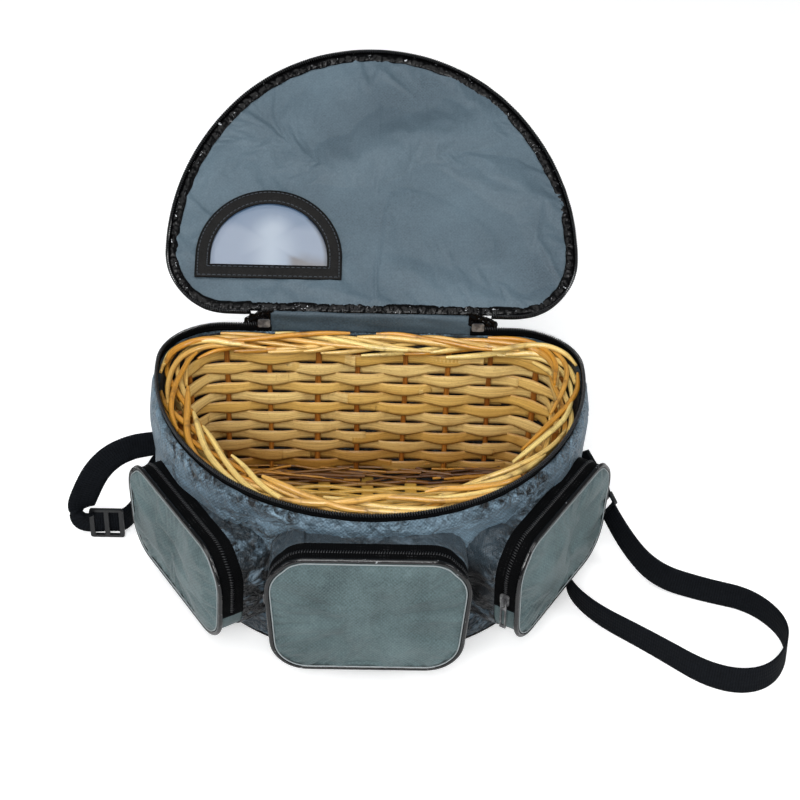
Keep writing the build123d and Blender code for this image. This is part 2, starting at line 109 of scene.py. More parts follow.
def half_width(y, grow=0.0):
    """Half the width of the D at one y."""
    for x, middle, radius, first, last in ARCS:
        if middle + (radius + grow) * math.sin(last) <= y <= middle + (radius + grow) * math.sin(first):
            return x + math.sqrt((radius + grow) ** 2 - (y - middle) ** 2)
    return 0.0


rim = Outline()
print("round the rim", round(rim.length, 4), "m")

# %% [markdown]
# ## Making sheets, tubes and ribbons
# Nearly everything on a sewn bag is a sheet laid over a form, or a cord or tape that follows a
# seam. So two helpers do most of the work: one lays a grid of faces over a surface and keeps
# its cloth size in the UVs, and the other draws a section along a smooth line.

# %% Mesh helpers
def mesh_object(name, bm, smooth=True):
    """Clean a bmesh and make a shaded object of it."""
    bmesh.ops.remove_doubles(bm, verts=bm.verts, dist=0.00002)
    bmesh.ops.recalc_face_normals(bm, faces=bm.faces)
    mesh = bpy.data.meshes.new(name)
    bm.to_mesh(mesh)
    bm.free()
    if smooth:
        mesh.shade_smooth()
    piece = bpy.data.objects.new(name, mesh)
    bpy.context.scene.collection.objects.link(piece)
    return piece


def sheet_mesh(across, along, size, place):
    """A grid of faces laid by place(u, v), with UVs in metres of cloth."""
    bm = bmesh.new()
    bmesh.ops.create_grid(bm, x_segments=across, y_segments=along, size=0.5)
    layer = bm.loops.layers.uv.new("UVMap")
    for face in bm.faces:
        for loop in face.loops:
            u, v = loop.vert.co.x + 0.5, loop.vert.co.y + 0.5
            loop[layer].uv = (u * size[0], v * size[1])
    for vert in bm.verts:
        vert.co = place(min(max(vert.co.x + 0.5, 0), 1), min(max(vert.co.y + 0.5, 0), 1))
    return bm


def thicken(bm, depth):
    """Give a sheet its thickness, towards the back of its faces."""
    bmesh.ops.recalc_face_normals(bm, faces=bm.faces)
    bmesh.ops.solidify(bm, geom=bm.faces[:], thickness=depth)
    return bm


def line_curve(name, points, closed=False, smooth=True, fine=6):
    """A curve through the points, as a NURBS line or a plain polyline."""
    data = bpy.data.curves.new(name, "CURVE")
    data.dimensions = "3D"
    data.resolution_u = fine
    spline = data.splines.new("NURBS" if smooth else "POLY")
    spline.points.add(len(points) - 1)
    for knot, point in zip(spline.points, points):
        knot.co = (*point, 1)
    if smooth:
        spline.order_u = 3
        spline.use_endpoint_u = not closed
    spline.use_cyclic_u = closed
    return data


def curve_mesh(data):
    """The mesh that a curve draws."""
    holder = bpy.data.objects.new(data.name, data)
    bpy.context.scene.collection.objects.link(holder)
    bpy.context.view_layer.update()
    graph = bpy.context.evaluated_depsgraph_get()
    mesh = bpy.data.meshes.new_from_object(holder.evaluated_get(graph))
    bpy.data.objects.remove(holder)
    bpy.data.curves.remove(data)
    return mesh


def rod_mesh(points, radius, sides=2, closed=False, smooth=True, fine=6, taper=None, caps=True):
    """A round rod along points; taper gives its share of the radius at each point."""
    data = line_curve("rod", points, closed, smooth, fine)
    data.bevel_depth = radius
    data.bevel_resolution = sides
    data.use_fill_caps = caps and not closed
    if taper:
        for knot, share in zip(data.splines[0].points, taper):
            knot.radius = share
    return curve_mesh(data)


def gather(name, meshes, smooth=True, tints=None):
    """Join meshes into one object; each part's tint goes into an attribute of its own."""
    bm = bmesh.new()
    layer = bm.verts.layers.float.new("tint")
    for index, mesh in enumerate(meshes):
        known = len(bm.verts)
        bm.from_mesh(mesh)
        bm.verts.ensure_lookup_table()
        for vert in bm.verts[known:]:
            vert[layer] = tints[index] if tints else 0.5
        bpy.data.meshes.remove(mesh)
    bmesh.ops.recalc_face_normals(bm, faces=bm.faces)
    mesh = bpy.data.meshes.new(name)
    bm.to_mesh(mesh)
    bm.free()
    if smooth:
        mesh.shade_smooth()
    piece = bpy.data.objects.new(name, mesh)
    bpy.context.scene.collection.objects.link(piece)
    return piece


def bevelled_box(size, edge=0.0006, segments=2):
    """A box with rounded edges, as a bmesh round the origin."""
    bm = bmesh.new()
    bmesh.ops.create_cube(bm, size=1.0, matrix=Matrix.Diagonal((*size, 1)))
    bmesh.ops.bevel(bm, geom=bm.edges[:], offset=edge, segments=segments, affect="EDGES", profile=0.5, material=-1)
    return bm


def place(piece, material, body, slot, *nodes):
    """Give a piece its finish, its body, and the CAD nodes it stands for."""
    piece.data.materials.clear()
    piece.data.materials.append(material)
    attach(piece, body)
    if nodes:
        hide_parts(*nodes)
    return piece


print("helpers ready")

# %% [markdown]
# ## A small language for finishes
# A finish is a recipe: noise for unevenness, waves for threads, a bump for relief. The class
# below wraps one output of a shader node, so the recipes read as plain sums.

# %% Recipes for materials
class Value:
    """One output in a recipe; sums on it become maths nodes."""

    def __init__(self, recipe, socket):
        self.recipe, self.socket = recipe, socket

    def __add__(self, other):
        return self.recipe.maths("ADD", self, other)

    def __sub__(self, other):
        return self.recipe.maths("SUBTRACT", self, other)

    def __rsub__(self, other):
        return self.recipe.maths("SUBTRACT", other, self)

    def __mul__(self, other):
        return self.recipe.maths("MULTIPLY", self, other)

    def __truediv__(self, other):
        return self.recipe.maths("DIVIDE", self, other)

    def __pow__(self, other):
        return self.recipe.maths("POWER", self, other)

    __radd__ = __add__
    __rmul__ = __mul__


def linear(red, green, blue):
    """A colour as the eye's 0-255 numbers, turned into light."""
    turn = [c / 255 for c in (red, green, blue)]
    return tuple(c / 12.92 if c <= 0.04045 else ((c + 0.055) / 1.055) ** 2.4 for c in turn) + (1.0,)


class Recipe:
    """A material under construction."""

    def __init__(self, name, roughness=0.6, metallic=0.0, **constants):
        self.material = bpy.data.materials.new(name)
        self.material.use_nodes = True
        self.tree = self.material.node_tree
        self.shader = self.tree.nodes["Principled BSDF"]
        self.shader.inputs["Roughness"].default_value = roughness
        self.shader.inputs["Metallic"].default_value = metallic
        for key, value in constants.items():
            self.shader.inputs[key.replace("_", " ")].default_value = value

    def feed(self, socket, value):
        if isinstance(value, Value):
            self.tree.links.new(value.socket, socket)
        elif value is not None:
            socket.default_value = value

    def node(self, kind, settings=None, inputs=None, output=0):
        """Any other node: its type, its settings first, then its inputs."""
        made = self.tree.nodes.new(kind)
        for key, value in (settings or {}).items():
            setattr(made, key, value)
        for key, value in (inputs or {}).items():
            self.feed(made.inputs[key], value)
        return Value(self, made.outputs[output])

    def maths(self, operation, *values):
        return self.node("ShaderNodeMath", {"operation": operation}, dict(enumerate(values)))

    def vector(self, operation, *values):
        return self.node("ShaderNodeVectorMath", {"operation": operation}, dict(enumerate(values)))

    def clamp(self, value, low=0.0, high=1.0):
        return self.maths("MINIMUM", self.maths("MAXIMUM", value, low), high)

    def ramp(self, value, start, end, low=0.0, high=1.0):
        """Runs smoothly from low to high as value goes from start to end."""
        return self.node("ShaderNodeMapRange", {"interpolation_type": "SMOOTHSTEP"},
                         {"Value": value, "From Min": start, "From Max": end, "To Min": low, "To Max": high})

    def mix(self, share, one, other, blend="MIX"):
        made = self.tree.nodes.new("ShaderNodeMix")
        made.data_type = "RGBA"
        made.blend_type = blend
        self.feed(made.inputs[0], share)
        self.feed(made.inputs[6], one)
        self.feed(made.inputs[7], other)
        return Value(self, made.outputs[2])

    def places(self):
        """Place on the piece, in metres of the whole creel."""
        return self.node("ShaderNodeTexCoord", output="Object")

    def cloth(self, name="UVMap"):
        """Place on the piece's own cloth, in metres."""
        return self.node("ShaderNodeUVMap", {"uv_map": name}, output=0)

    def split(self, value):
        made = self.tree.nodes.new("ShaderNodeSeparateXYZ")
        self.feed(made.inputs[0], value)
        return [Value(self, made.outputs[axis]) for axis in range(3)]

    def attribute(self, name):
        return self.node("ShaderNodeAttribute", {"attribute_name": name}, output="Fac")

    def noise(self, where, scale, detail=3.0, rough=0.5, stretch=None, distort=0.0):
        if stretch:
            where = self.vector("MULTIPLY", where, stretch)
        return self.node("ShaderNodeTexNoise", None,
                         {"Vector": where, "Scale": scale, "Detail": detail, "Roughness": rough, "Distortion": distort})

    def threads(self, along, pitch):
        """Rounded ridges, one each pitch."""
        return self.maths("ABSOLUTE", self.maths("SINE", along * (math.pi / pitch)))

    def relief(self, height, distance, strength=1.0, under=None):
        return self.node("ShaderNodeBump", None,
                         {"Height": height, "Distance": distance, "Strength": strength, "Normal": under})

    def finish(self, colour=None, roughness=None, normal=None, alpha=None, metallic=None, coat=None):
        for key, value in (("Base Color", colour), ("Roughness", roughness), ("Normal", normal),
                           ("Alpha", alpha), ("Metallic", metallic), ("Coat Weight", coat)):
            if value is not None:
                self.feed(self.shader.inputs[key], value)
        return self.material


print("recipe language ready")

# %% [markdown]
# ## Finishes
# The bag is coated nylon: a fine plain weave, a little sheen, and a rubbery back that keeps
# sharp creases. The trims are vinyl and polyester tape. The basket is peeled willow, split into
# thin strips for the walls and left round for the rim.

# %% Cloth finishes
def nylon(name, light, dark, creased=0.0, sheen=0.06, rim_creases=False, rough=0.36, low=None, hatched=0.5,
          cloudy=9.0):
    """Coated nylon with its weave in the UVs; creased adds crumples with painted shade in them and a painted sheen, and
    low paints shade low down at the front.
    """
    r = Recipe(name, roughness=0.5, Sheen_Weight=sheen, Sheen_Roughness=0.4)
    r.shader.inputs["Specular IOR Level"].default_value = 0.3
    across, along, _ = r.split(r.cloth())
    weft, warp = r.threads(along, 0.0012), r.threads(across, 0.0012)
    hatch = r.threads(across + along, 0.0031) * r.threads(across - along, 0.0031)
    where = r.places()
    _, deep, height = r.split(where)
    cloud = r.noise(where, cloudy, 4.0, 0.6)
    fleck = r.noise(where, 620.0, 2.0)
    tone = r.clamp(0.5 + (cloud - 0.5) * 1.5 + (fleck - 0.5) * 0.9 + (hatch - 0.4) * hatched)
    colour = r.mix(tone, dark, light)
    # Painted shade: the low colour darkens the cloth low down at the front, in the recess round the pockets.
    if low:
        colour = r.mix(r.ramp(height, 0.112, 0.09) * r.ramp(deep, 0.04, -0.03), colour, r.mix(cloud, low, dark))
    bump = r.relief(weft * warp * 0.5 + hatch * hatched, 0.00022, 0.8)
    if creased:
        patches = r.ramp(r.noise(where, 14.0, 2.0), 0.42, 0.6)
        if rim_creases:
            patches = r.clamp(patches * 0.8 + r.ramp(height, 0.136, 0.15) * 0.5)
        wide = r.maths("ABSOLUTE", r.noise(where, 50.0, 2.0, 0.5, (1.0, 1.0, 1.4), 0.6) - 0.5)
        fine = r.maths("ABSOLUTE", r.noise(where, 160.0, 2.0, 0.5, (1.0, 1.0, 1.3), 0.5) - 0.5)
        # Painted shade: near-black in the crease lines and in mottles of crumpled cloth that grow towards the front.
        crumple_shade = r.ramp(r.noise(where, 105.0, 4.0, 0.62, None, 0.7), 0.46, 0.6) * r.ramp(deep, 0.03, -0.05) * 0.8
        crease_shade = r.clamp(1.0 - wide * 30.0) * 0.5 + r.clamp(1.0 - fine * 16.0) * 0.4 + crumple_shade
        # Painted sheen: light blue-grey patches where the crumples would catch the light.
        shine = r.ramp(r.noise(where, 66.0, 3.0, 0.5, (1.0, 1.0, 1.5), 0.4), 0.5, 0.62) * patches
        colour = r.mix(shine * 0.4 * creased, colour, linear(150, 178, 198))
        colour = r.mix(r.clamp(crease_shade * patches * creased), colour, linear(8, 11, 14))
        bump = r.relief((r.clamp(wide * 6.0) + r.clamp(fine * 6.0) * 0.3) * (patches * 0.75 + 0.25), 0.0034, 1.0, bump)
    return r.finish(colour, rough + cloud * 0.25, bump)


def gloss_vinyl(name, shade, glints=0.0, mirror=0.5, rough=0.04, depth=0.0006):
    """Vinyl with a hard shine and small puckers; glints paints highlights into its colour as white specks."""
    r = Recipe(name, roughness=0.2)
    r.shader.inputs["Specular IOR Level"].default_value = mirror
    where = r.places()
    pucker = r.noise(where, 190.0, 3.0, 0.6, None, 0.6)
    colour = r.mix(r.noise(where, 60.0, 2.0), shade, linear(9, 9, 10))
    # Painted highlight: white specks of glint in the colour.
    if glints:
        painted_glint = r.ramp(r.noise(where, 280.0, 2.0, 0.5, None, 1.2), 0.69, 0.76)
        colour = r.mix(painted_glint * glints, colour, linear(216, 220, 224))
    return r.finish(colour, rough + pucker * rough * 2.0, r.relief(pucker, depth, 0.7))


def ribbed(name, light, dark, pitch, roughness=0.8):
    """Woven polyester tape: fine ribs across its length."""
    r = Recipe(name, roughness=roughness)
    r.shader.inputs["Specular IOR Level"].default_value = 0.05
    across, along, _ = r.split(r.cloth())
    rib = r.threads(across, pitch)
    cord = r.threads(along, pitch * 1.6)
    where = r.places()
    dust = r.noise(where, 260.0, 3.0, 0.6)
    colour = r.mix(r.clamp(rib * 0.4 + (dust - 0.2) * 0.6), dark, light)
    return r.finish(colour, 0.6 + dust * 0.3, r.relief(rib * cord, 0.0004, 0.9))


def leatherette(name):
    """Embossed black vinyl with a leather grain."""
    r = Recipe(name, roughness=0.4)
    r.shader.inputs["Specular IOR Level"].default_value = 0.14
    where = r.places()
    cells = r.node("ShaderNodeTexVoronoi", {"feature": "DISTANCE_TO_EDGE"}, {"Vector": where, "Scale": 620.0})
    soft = r.noise(where, 90.0, 3.0)
    colour = r.mix(soft, linear(4, 4, 5), linear(24, 23, 22))
    return r.finish(colour, 0.24 + soft * 0.3, r.relief(r.clamp(cells * 6.0) + soft * 0.4, 0.0002, 0.7))


lining_cloth = nylon("lining_nylon", linear(90, 108, 119), linear(58, 72, 82), hatched=0.1)
pocket_cloth = nylon("pocket_nylon", linear(96, 115, 117), linear(48, 62, 64), hatched=0.3, cloudy=22.0)
# low on the body and gusset nylon is painted shade; creased paints shade and a sheen into the crumples.
body_cloth = nylon("body_nylon", linear(114, 138, 153), linear(56, 72, 84), creased=1.0, sheen=0.1, rim_creases=True, low=linear(26, 26, 26))
lid_cloth = nylon("lid_nylon", linear(108, 130, 144), linear(62, 78, 90), hatched=0.2)
hinge_cloth = nylon("hinge_nylon", linear(76, 92, 102), linear(38, 48, 56), hatched=0.1)
dark_cloth = nylon("dark_nylon", linear(58, 60, 62), linear(20, 20, 21), creased=0.5, rough=0.28)
gusset_cloth = nylon("gusset_nylon", linear(62, 75, 84), linear(20, 25, 29), creased=0.8, rough=0.26, low=linear(34, 30, 28))
binding_vinyl = gloss_vinyl("binding_vinyl", linear(2, 2, 3), 0.9, 0.14, 0.08)
piping_vinyl = gloss_vinyl("piping_vinyl", linear(2, 2, 3), 0.5)
tape_cloth = ribbed("zip_tape_polyester", linear(11, 12, 13), linear(2, 2, 3), 0.0016)
webbing_cloth = ribbed("strap_webbing_polyester", linear(26, 29, 34), linear(6, 7, 9), 0.0022)
frame_vinyl = leatherette("window_leatherette")
print("cloth finishes ready")

# %% Hard finishes
def plain_plastic(name, shade, roughness=0.35):
    """Moulded plastic with a fine satin texture."""
    r = Recipe(name, roughness=roughness)
    where = r.places()
    grain = r.noise(where, 900.0, 2.0)
    wear = r.noise(where, 70.0, 3.0)
    return r.finish(r.mix(wear * 0.3, shade, linear(44, 46, 50)), roughness + grain * 0.15, r.relief(grain, 0.00008, 0.5))


def cast_metal(name):
    """Dark plated zinc with a brushed wear to brighter metal."""
    r = Recipe(name, roughness=0.3, metallic=0.5)
    where = r.places()
    rub = r.ramp(r.noise(where, 180.0, 4.0), 0.4, 0.7)
    return r.finish(r.mix(rub, linear(84, 84, 86), linear(150, 150, 150)), 0.5 - rub * 0.15,
                    r.relief(r.noise(where, 700.0, 2.0), 0.00006, 0.5))


def clear_film(name):
    """Soft milky window vinyl with ripples that catch the light; its colour holds painted reflections and painted
    shade.
    """
    r = Recipe(name, roughness=0.12, Coat_Roughness=0.05)
    where = r.places()
    across, along, _ = r.split(r.cloth())
    ripple = r.noise(where, 26.0, 3.0, 0.5, (1.0, 0.6, 0.6))
    across, along = across + (ripple - 0.5) * 0.012, along + (ripple - 0.5) * 0.02
    # Painted reflection: brighter across the middle.
    colour = r.mix(r.ramp(r.maths("ABSOLUTE", across - 0.063), 0.034, 0.0) * 0.75, linear(110, 124, 144), linear(150, 162, 176))
    # Painted shade: darker blue along the arch, by the frame.
    colour = r.mix(r.ramp(along, 0.030, 0.010), colour, linear(78, 100, 126))
    # Painted reflection: a brownish patch of the basket towards the foot at one side.
    colour = r.mix(r.ramp(across, 0.080, 0.094) * r.ramp(along, 0.046, 0.062) * 0.8, colour, linear(80, 72, 68))
    # Painted shade: dark along the far side of the window.
    colour = r.mix(r.ramp(across, 0.106, 0.112), colour, linear(40, 50, 66))
    return r.finish(colour, 0.1 + ripple * 0.15, r.relief(ripple, 0.0008, 0.5), alpha=0.9 + ripple * 0.1, coat=0.2 + ripple * 0.2)


def willow(name, shades, deep, grain_size=(18.0, 900.0), bruised=0.4, gloss=0.2, edge=0.0, foot=0.0):
    """Willow by its tint: grain along the piece, knots and darker bruises; edge and foot add painted shade."""
    r = Recipe(name, roughness=0.5, Coat_Roughness=0.12)
    where = r.places()
    tint = r.attribute("tint")
    across, along, _ = r.split(r.cloth())
    line = r.node("ShaderNodeCombineXYZ", None, {0: across * grain_size[0], 1: along * grain_size[1], 2: tint * 40.0})
    grain = r.noise(line, 1.0, 5.0, 0.7)
    speck = r.noise(where, 760.0, 2.0, 0.6)
    bruise = r.ramp(r.noise(where, 46.0, 4.0, 0.65), 0.52, 0.74)
    base = r.mix(tint, shades[0], shades[1])
    base = r.mix(r.ramp(grain, 0.35, 0.65), r.mix(0.45, base, deep), base)
    base = r.mix(r.ramp(speck, 0.55, 0.7) * 0.3, base, deep)
    base = r.mix(bruise * bruised, base, deep)
    # Painted shade: darker along both long edges of a strip, where the rows meet.
    if edge:
        rim = r.ramp(r.maths("ABSOLUTE", along - edge), edge * 0.72, edge)
        base = r.mix(rim * 0.6, base, deep)
    # Painted shade: darker and browner towards the floor, low in the basket.
    if foot:
        _, _, height = r.split(where)
        base = r.mix(r.ramp(height, 0.10, 0.0) * foot, base, linear(186, 160, 120), "MULTIPLY")
    rough = 0.3 + grain * 0.35
    return r.finish(base, rough, r.relief(grain + speck * 0.3, 0.0005, 0.8), coat=gloss * (0.4 + grain))


# The piping's light grey lip is partly the face cloth's pale edge and partly a painted highlight along the piping.
lip_vinyl = plain_plastic("piping_lip", linear(150, 158, 160), 0.3)
buckle_plastic = plain_plastic("buckle_plastic", linear(10, 11, 12))
coil_plastic = plain_plastic("coil_plastic", linear(24, 25, 27), 0.3)
thread_plastic = plain_plastic("sewing_thread", linear(4, 4, 5), 0.6)
window_thread = plain_plastic("window_thread", linear(56, 63, 70), 0.5)
slider_metal = cast_metal("slider_metal")
window_film = clear_film("window_film")
willow_strip = willow("willow_strip", (linear(232, 190, 98), linear(255, 228, 154)), linear(150, 100, 34), bruised=0.35, gloss=0.12, edge=0.0064, foot=1.0)
willow_rod = willow("willow_rod", (linear(216, 148, 34), linear(255, 228, 142)), linear(88, 46, 4), (2.0, 14.0), 0.75, 1.0)
willow_stake = willow("willow_stake", (linear(140, 80, 18), linear(176, 112, 36)), linear(64, 32, 6), (2.0, 10.0))
floor_wood = willow("floor_wood", (linear(112, 60, 8), linear(250, 204, 96)), linear(54, 26, 2), (4.0, 10.0), 0.5)
foot_wood = willow("foot_wood", (linear(84, 42, 2), linear(222, 156, 50)), linear(20, 8, 0), (2.0, 10.0), 0.6)
print(len(bpy.data.materials), "finishes")

# %% [markdown]
# ## Camera, floor and studio light
# A product like this is shown on a white sweep under big soft lamps. The floor is a plain pale
# sheet that fills the view, and the lamps are wide so that shadows stay faint.

# %% Camera
def look_from(target, azimuth, elevation, distance, roll):
    """Camera matrix that looks at a target from an angle, with a small roll."""
    back = Vector((math.sin(azimuth) * math.cos(elevation), -math.cos(azimuth) * math.cos(elevation), math.sin(elevation)))
    right = Vector((math.cos(azimuth), math.sin(azimuth), 0))
    up = back.cross(right)
    side = right * math.cos(roll) + up * math.sin(roll)
    top = up * math.cos(roll) - right * math.sin(roll)
    turn = Matrix((side, top, back)).transposed().to_4x4()
    return Matrix.Translation(Vector(target) + back * distance) @ turn


camera_data = bpy.data.cameras.new("camera")
camera_data.lens = 76.47
camera_data.sensor_width = 36.0
camera_data.clip_end = 60.0
camera = bpy.data.objects.new("camera", camera_data)
camera.matrix_world = look_from((0.02386, -0.0032, 0.17523), math.radians(-1.94), math.radians(35.99), 1.40131, math.radians(2.27))
bpy.context.scene.collection.objects.link(camera)
bpy.context.scene.camera = camera
print("camera at", [round(x, 3) for x in camera.location])

# %% Floor, world and lamps
scene = bpy.context.scene
scene.view_settings.view_transform = "Standard"

world = bpy.data.worlds.new("studio")
world.use_nodes = True
world.node_tree.nodes["Background"].inputs[0].default_value = (0.93, 0.97, 1.0, 1.0)
world.node_tree.nodes["Background"].inputs[1].default_value = 0.24
scene.world = world

sweep = Recipe("pale_floor", roughness=0.9)
sweep.shader.inputs["Specular IOR Level"].default_value = 0.0
sweep.shader.inputs["Base Color"].default_value = (0.9, 0.9, 0.9, 1)
sweep.shader.inputs["Emission Strength"].default_value = 1.0
sweep.feed(sweep.shader.inputs["Emission Color"], sweep.node("ShaderNodeLightPath", output="Is Camera Ray") * 0.42)
bm = bmesh.new()
bmesh.ops.create_grid(bm, x_segments=2, y_segments=2, size=9.0)
floor = mesh_object("floor", bm, smooth=False)
floor.data.transform(Matrix.Translation((0, 0, -0.0005)))
floor.data.materials.append(sweep.material)


def lamp(name, spot, target, size, watts, tint=(1, 1, 1)):
    """A soft box that faces its target."""
    data = bpy.data.lights.new(name, "AREA")
    data.shape = "RECTANGLE"
    data.size, data.size_y = size
    data.energy = watts
    data.color = tint
    made = bpy.data.objects.new(name, data)
    made.location = spot
    made.rotation_mode = "QUATERNION"
    made.rotation_quaternion = (Vector(spot) - Vector(target)).to_track_quat("Z", "Y")
    scene.collection.objects.link(made)
    return made


lamp("top_lamp", (-0.25, -0.5, 2.3), (0, 0, 0.1), (2.0, 1.5), 22.0)
lamp("front_lamp", (-0.35, -2.1, 1.9), (0, 0, 0.1), (1.5, 1.0), 46.0)
lamp("left_lamp", (-2.2, -0.9, 1.3), (0, 0, 0.15), (0.8, 1.6), 16.0)
lamp("right_lamp", (2.2, -1.2, 1.4), (0, 0, 0.15), (0.8, 1.6), 24.0)

# %% [markdown]
# ## The woven basket
# The wall is randed: a flat split strip runs in front of one stake and behind the next, and the
# row above does the opposite, which locks the stakes. Strips differ in width and colour because
# each comes from another rod, and a new one is laid in where the last runs out.

# %% Weave the wall
STAKES, ROWS = 24, 12
ROW_PITCH, FIRST_ROW = 0.0105, 0.014
WALL_GROW = -0.0165
wall = Outline(WALL_GROW)
stake_pitch = wall.length / STAKES
random.seed(7)
stake_marks = [stake * stake_pitch + random.uniform(-0.0034, 0.0034) for stake in range(STAKES)]
known_marks = [stake_marks[-1] - wall.length] + stake_marks + [mark + wall.length for mark in stake_marks[:2]]


def stakes_passed(distance):
    """How many stakes lie behind a point of the wall, with the share of the next gap."""
    turns, rest = divmod(distance, wall.length)
    index = bisect.bisect_right(known_marks, rest) - 1
    share = (rest - known_marks[index]) / (known_marks[index + 1] - known_marks[index])
    return turns * STAKES + index - 1 + share


def sway(distance):
    """Rise and fall that all the rows share, for nobody packs a weave quite level."""
    return 0.0016 * noise.noise(Vector((distance * 6.0, 0, 4.0)))


def strip_piece(row, start, span, width, thick, lift=0.0):
    """One split strip: in front of one stake, behind the next, widest where it lies on a stake."""
    count = max(int(span / stake_pitch * 12), 8)
    middle = FIRST_ROW + row * ROW_PITCH + 0.0049
    seed = Vector((row * 3.1, start * 5.0, 0.0))

    def place_point(u, v):
        distance = start + u * span
        swing = math.cos(stakes_passed(distance) * math.pi) * (1 if row % 2 else -1)
        belly = abs(swing)
        swing *= 0.0034
        across = 2 * v - 1
        wander = sway(distance) + 0.0005 * noise.noise(seed + Vector((distance * 20, 0, 0)))
        ragged = 0.03 * noise.noise(seed + Vector((0, distance * 60, 3 + v)))
        half = width / 2 * (0.80 + 0.22 * belly ** 2 + ragged)
        cup = (1 - across * across) * 0.0004 * (1 if swing > 0 else -1)
        loose = lift * max(u * 2 - 1, 0) ** 2
        return wall.at(distance, lean(middle) + swing + cup - loose, middle + wander + across * half + loose * 0.3)[0]

    bm = sheet_mesh(count, 4, (span, width), place_point)
    thicken(bm, thick)
    return bm


def bm_mesh(bm):
    mesh = bpy.data.meshes.new("part")
    bmesh.ops.recalc_face_normals(bm, faces=bm.faces)
    bm.to_mesh(mesh)
    bm.free()
    return mesh


def weave_row(row):
    """A whole row out of two or three strips whose ends overlap behind a stake."""
    meshes, tints = [], []
    start = random.uniform(0, wall.length)
    left = wall.length
    while left > 0.001:
        span = min(random.uniform(0.30, 0.55), left)
        if left - span < 0.12:
            span = left
        meshes.append(bm_mesh(strip_piece(row, start, span + 0.012, random.uniform(0.0127, 0.0135), 0.0006)))
        tints.append(random.uniform(0.0, 1.0))
        start += span
        left -= span
    return gather(f"weave_{row + 1}", meshes, tints=tints)


for row in range(ROWS):
    place(weave_row(row), willow_strip, "bag", "willow_strip", f"basket_row_{row + 1}")
print(ROWS, "rows round", STAKES, "stakes, pitch", round(stake_pitch, 4))

# %% Leave a few loose ends
tails = [(11, 4.6, 0.046, 0.006), (11, 7.3, 0.034, 0.003), (10, 9.4, 0.030, 0.002), (0, 6.2, 0.052, 0.003),
         (0, 9.6, 0.030, 0.004), (11, 2.1, 0.030, 0.004), (1, 1.2, 0.026, 0.003)]
meshes = [bm_mesh(strip_piece(row + 0.02, stake * stake_pitch, long, 0.0112, 0.0007, lift)) for row, stake, long, lift in tails]
place(gather("weave_ends", meshes, tints=[random.uniform(0.7, 1.0) for _ in tails]), willow_strip, "bag", "willow_strip")
print(len(tails), "loose ends")

# %% Set the stakes
def stake_rods():
    meshes, tints = [], []
    for stake, mark in enumerate(stake_marks):
        points = []
        for step in range(9):
            z = 0.0102 + step / 8 * 0.132
            bend = 0.0012 * noise.noise(Vector((stake * 2.3, z * 16, 0)))
            points.append(wall.at(mark + bend, lean(z), z)[0])
        meshes.append(rod_mesh(points, random.uniform(0.0023, 0.0028), sides=2, fine=2))
        tints.append(random.random())
    return gather("stakes", meshes, tints=tints)


place(stake_rods(), willow_stake, "bag", "willow_stake", "basket_stakes")
print(STAKES, "stakes")

# %% [markdown]
# ## The rim of the basket
# At the top the stakes turn over into a border: each round rod crosses from one face of the wall
# to the other and tucks behind its neighbours. The rods vary in colour and thickness, and their
# cut ends show.

# %% Lay the border
def border_rod(start, reach, z, side, swing, radius, lift):
    """One rod of the border, crossing the wall on its way round."""
    points = []
    seed = Vector((start * 40, z * 90, side))
    for step in range(9):
        share = step / 8
        across = side * swing * math.cos(share * math.pi)
        across += 0.0016 * noise.noise(seed + Vector((share * 3, 0, 0)))
        height = z + lift * math.sin(share * math.pi) + 0.0012 * noise.noise(seed + Vector((0, share * 4, 0)))
        points.append(wall.at(start + share * reach, across, height)[0])
    return rod_mesh(points, radius, sides=2, fine=3, taper=[0.55, 0.9] + [1.0] * 5 + [0.85, 0.5])


def border(name, z, side, extra):
    """A lay of rods, one from each stake, with a few loose ones worked in."""
    meshes, tints = [], []
    for stake in range(STAKES + extra):
        loose = stake >= STAKES
        start = (stake if not loose else random.uniform(0, STAKES)) * stake_pitch + random.uniform(-0.006, 0.006)
        radius = random.uniform(0.0021, 0.0030)
        reach = stake_pitch * (random.uniform(1.8, 2.8) if loose else random.uniform(2.4, 3.3))
        height = z + (0.0034 if loose else 0.0) + random.uniform(-0.0012, 0.0012)
        swing = random.uniform(0.0070, 0.0125)
        across = random.choice((-side, side, side)) if loose else side
        meshes.append(border_rod(start, reach, height, across, swing, radius, 0.0012))
        tints.append(random.random() ** 1.5)
    return gather(name, meshes, tints=tints)


place(border("border_lower", 0.1452, -1, 6), willow_rod, "bag", "willow_rod", "basket_border_lower")
place(border("border_upper", 0.1514, 1, 9), willow_rod, "bag", "willow_rod", "basket_border_upper")
print("border of", 2 * STAKES + 15, "rods")

# %% [markdown]
# ## The floor of the basket
# Flat sticks run from front to back and darker rods are woven across them. The floor stays in
# shade; its willow is browner than the wall's, and darker at the back by the wall's foot.

# %% Weave the floor
FLOOR_GROW = -0.0285
STICK_PITCH = 0.040


def floor_rod(y, phase, reach, radius):
    """A rod over one stick and under the next."""
    points = []
    count = max(int(reach * 2 / 0.01), 4)
    for step in range(count + 1):
        x = -reach + 2 * reach * step / count
        swing = 0.0021 * math.cos(x / STICK_PITCH * math.pi) * (1 if phase else -1)
        points.append((x, y + 0.0007 * noise.noise(Vector((x * 30, y * 60, 0))), 0.0092 + swing))
    return rod_mesh(points, radius, sides=1, fine=2)


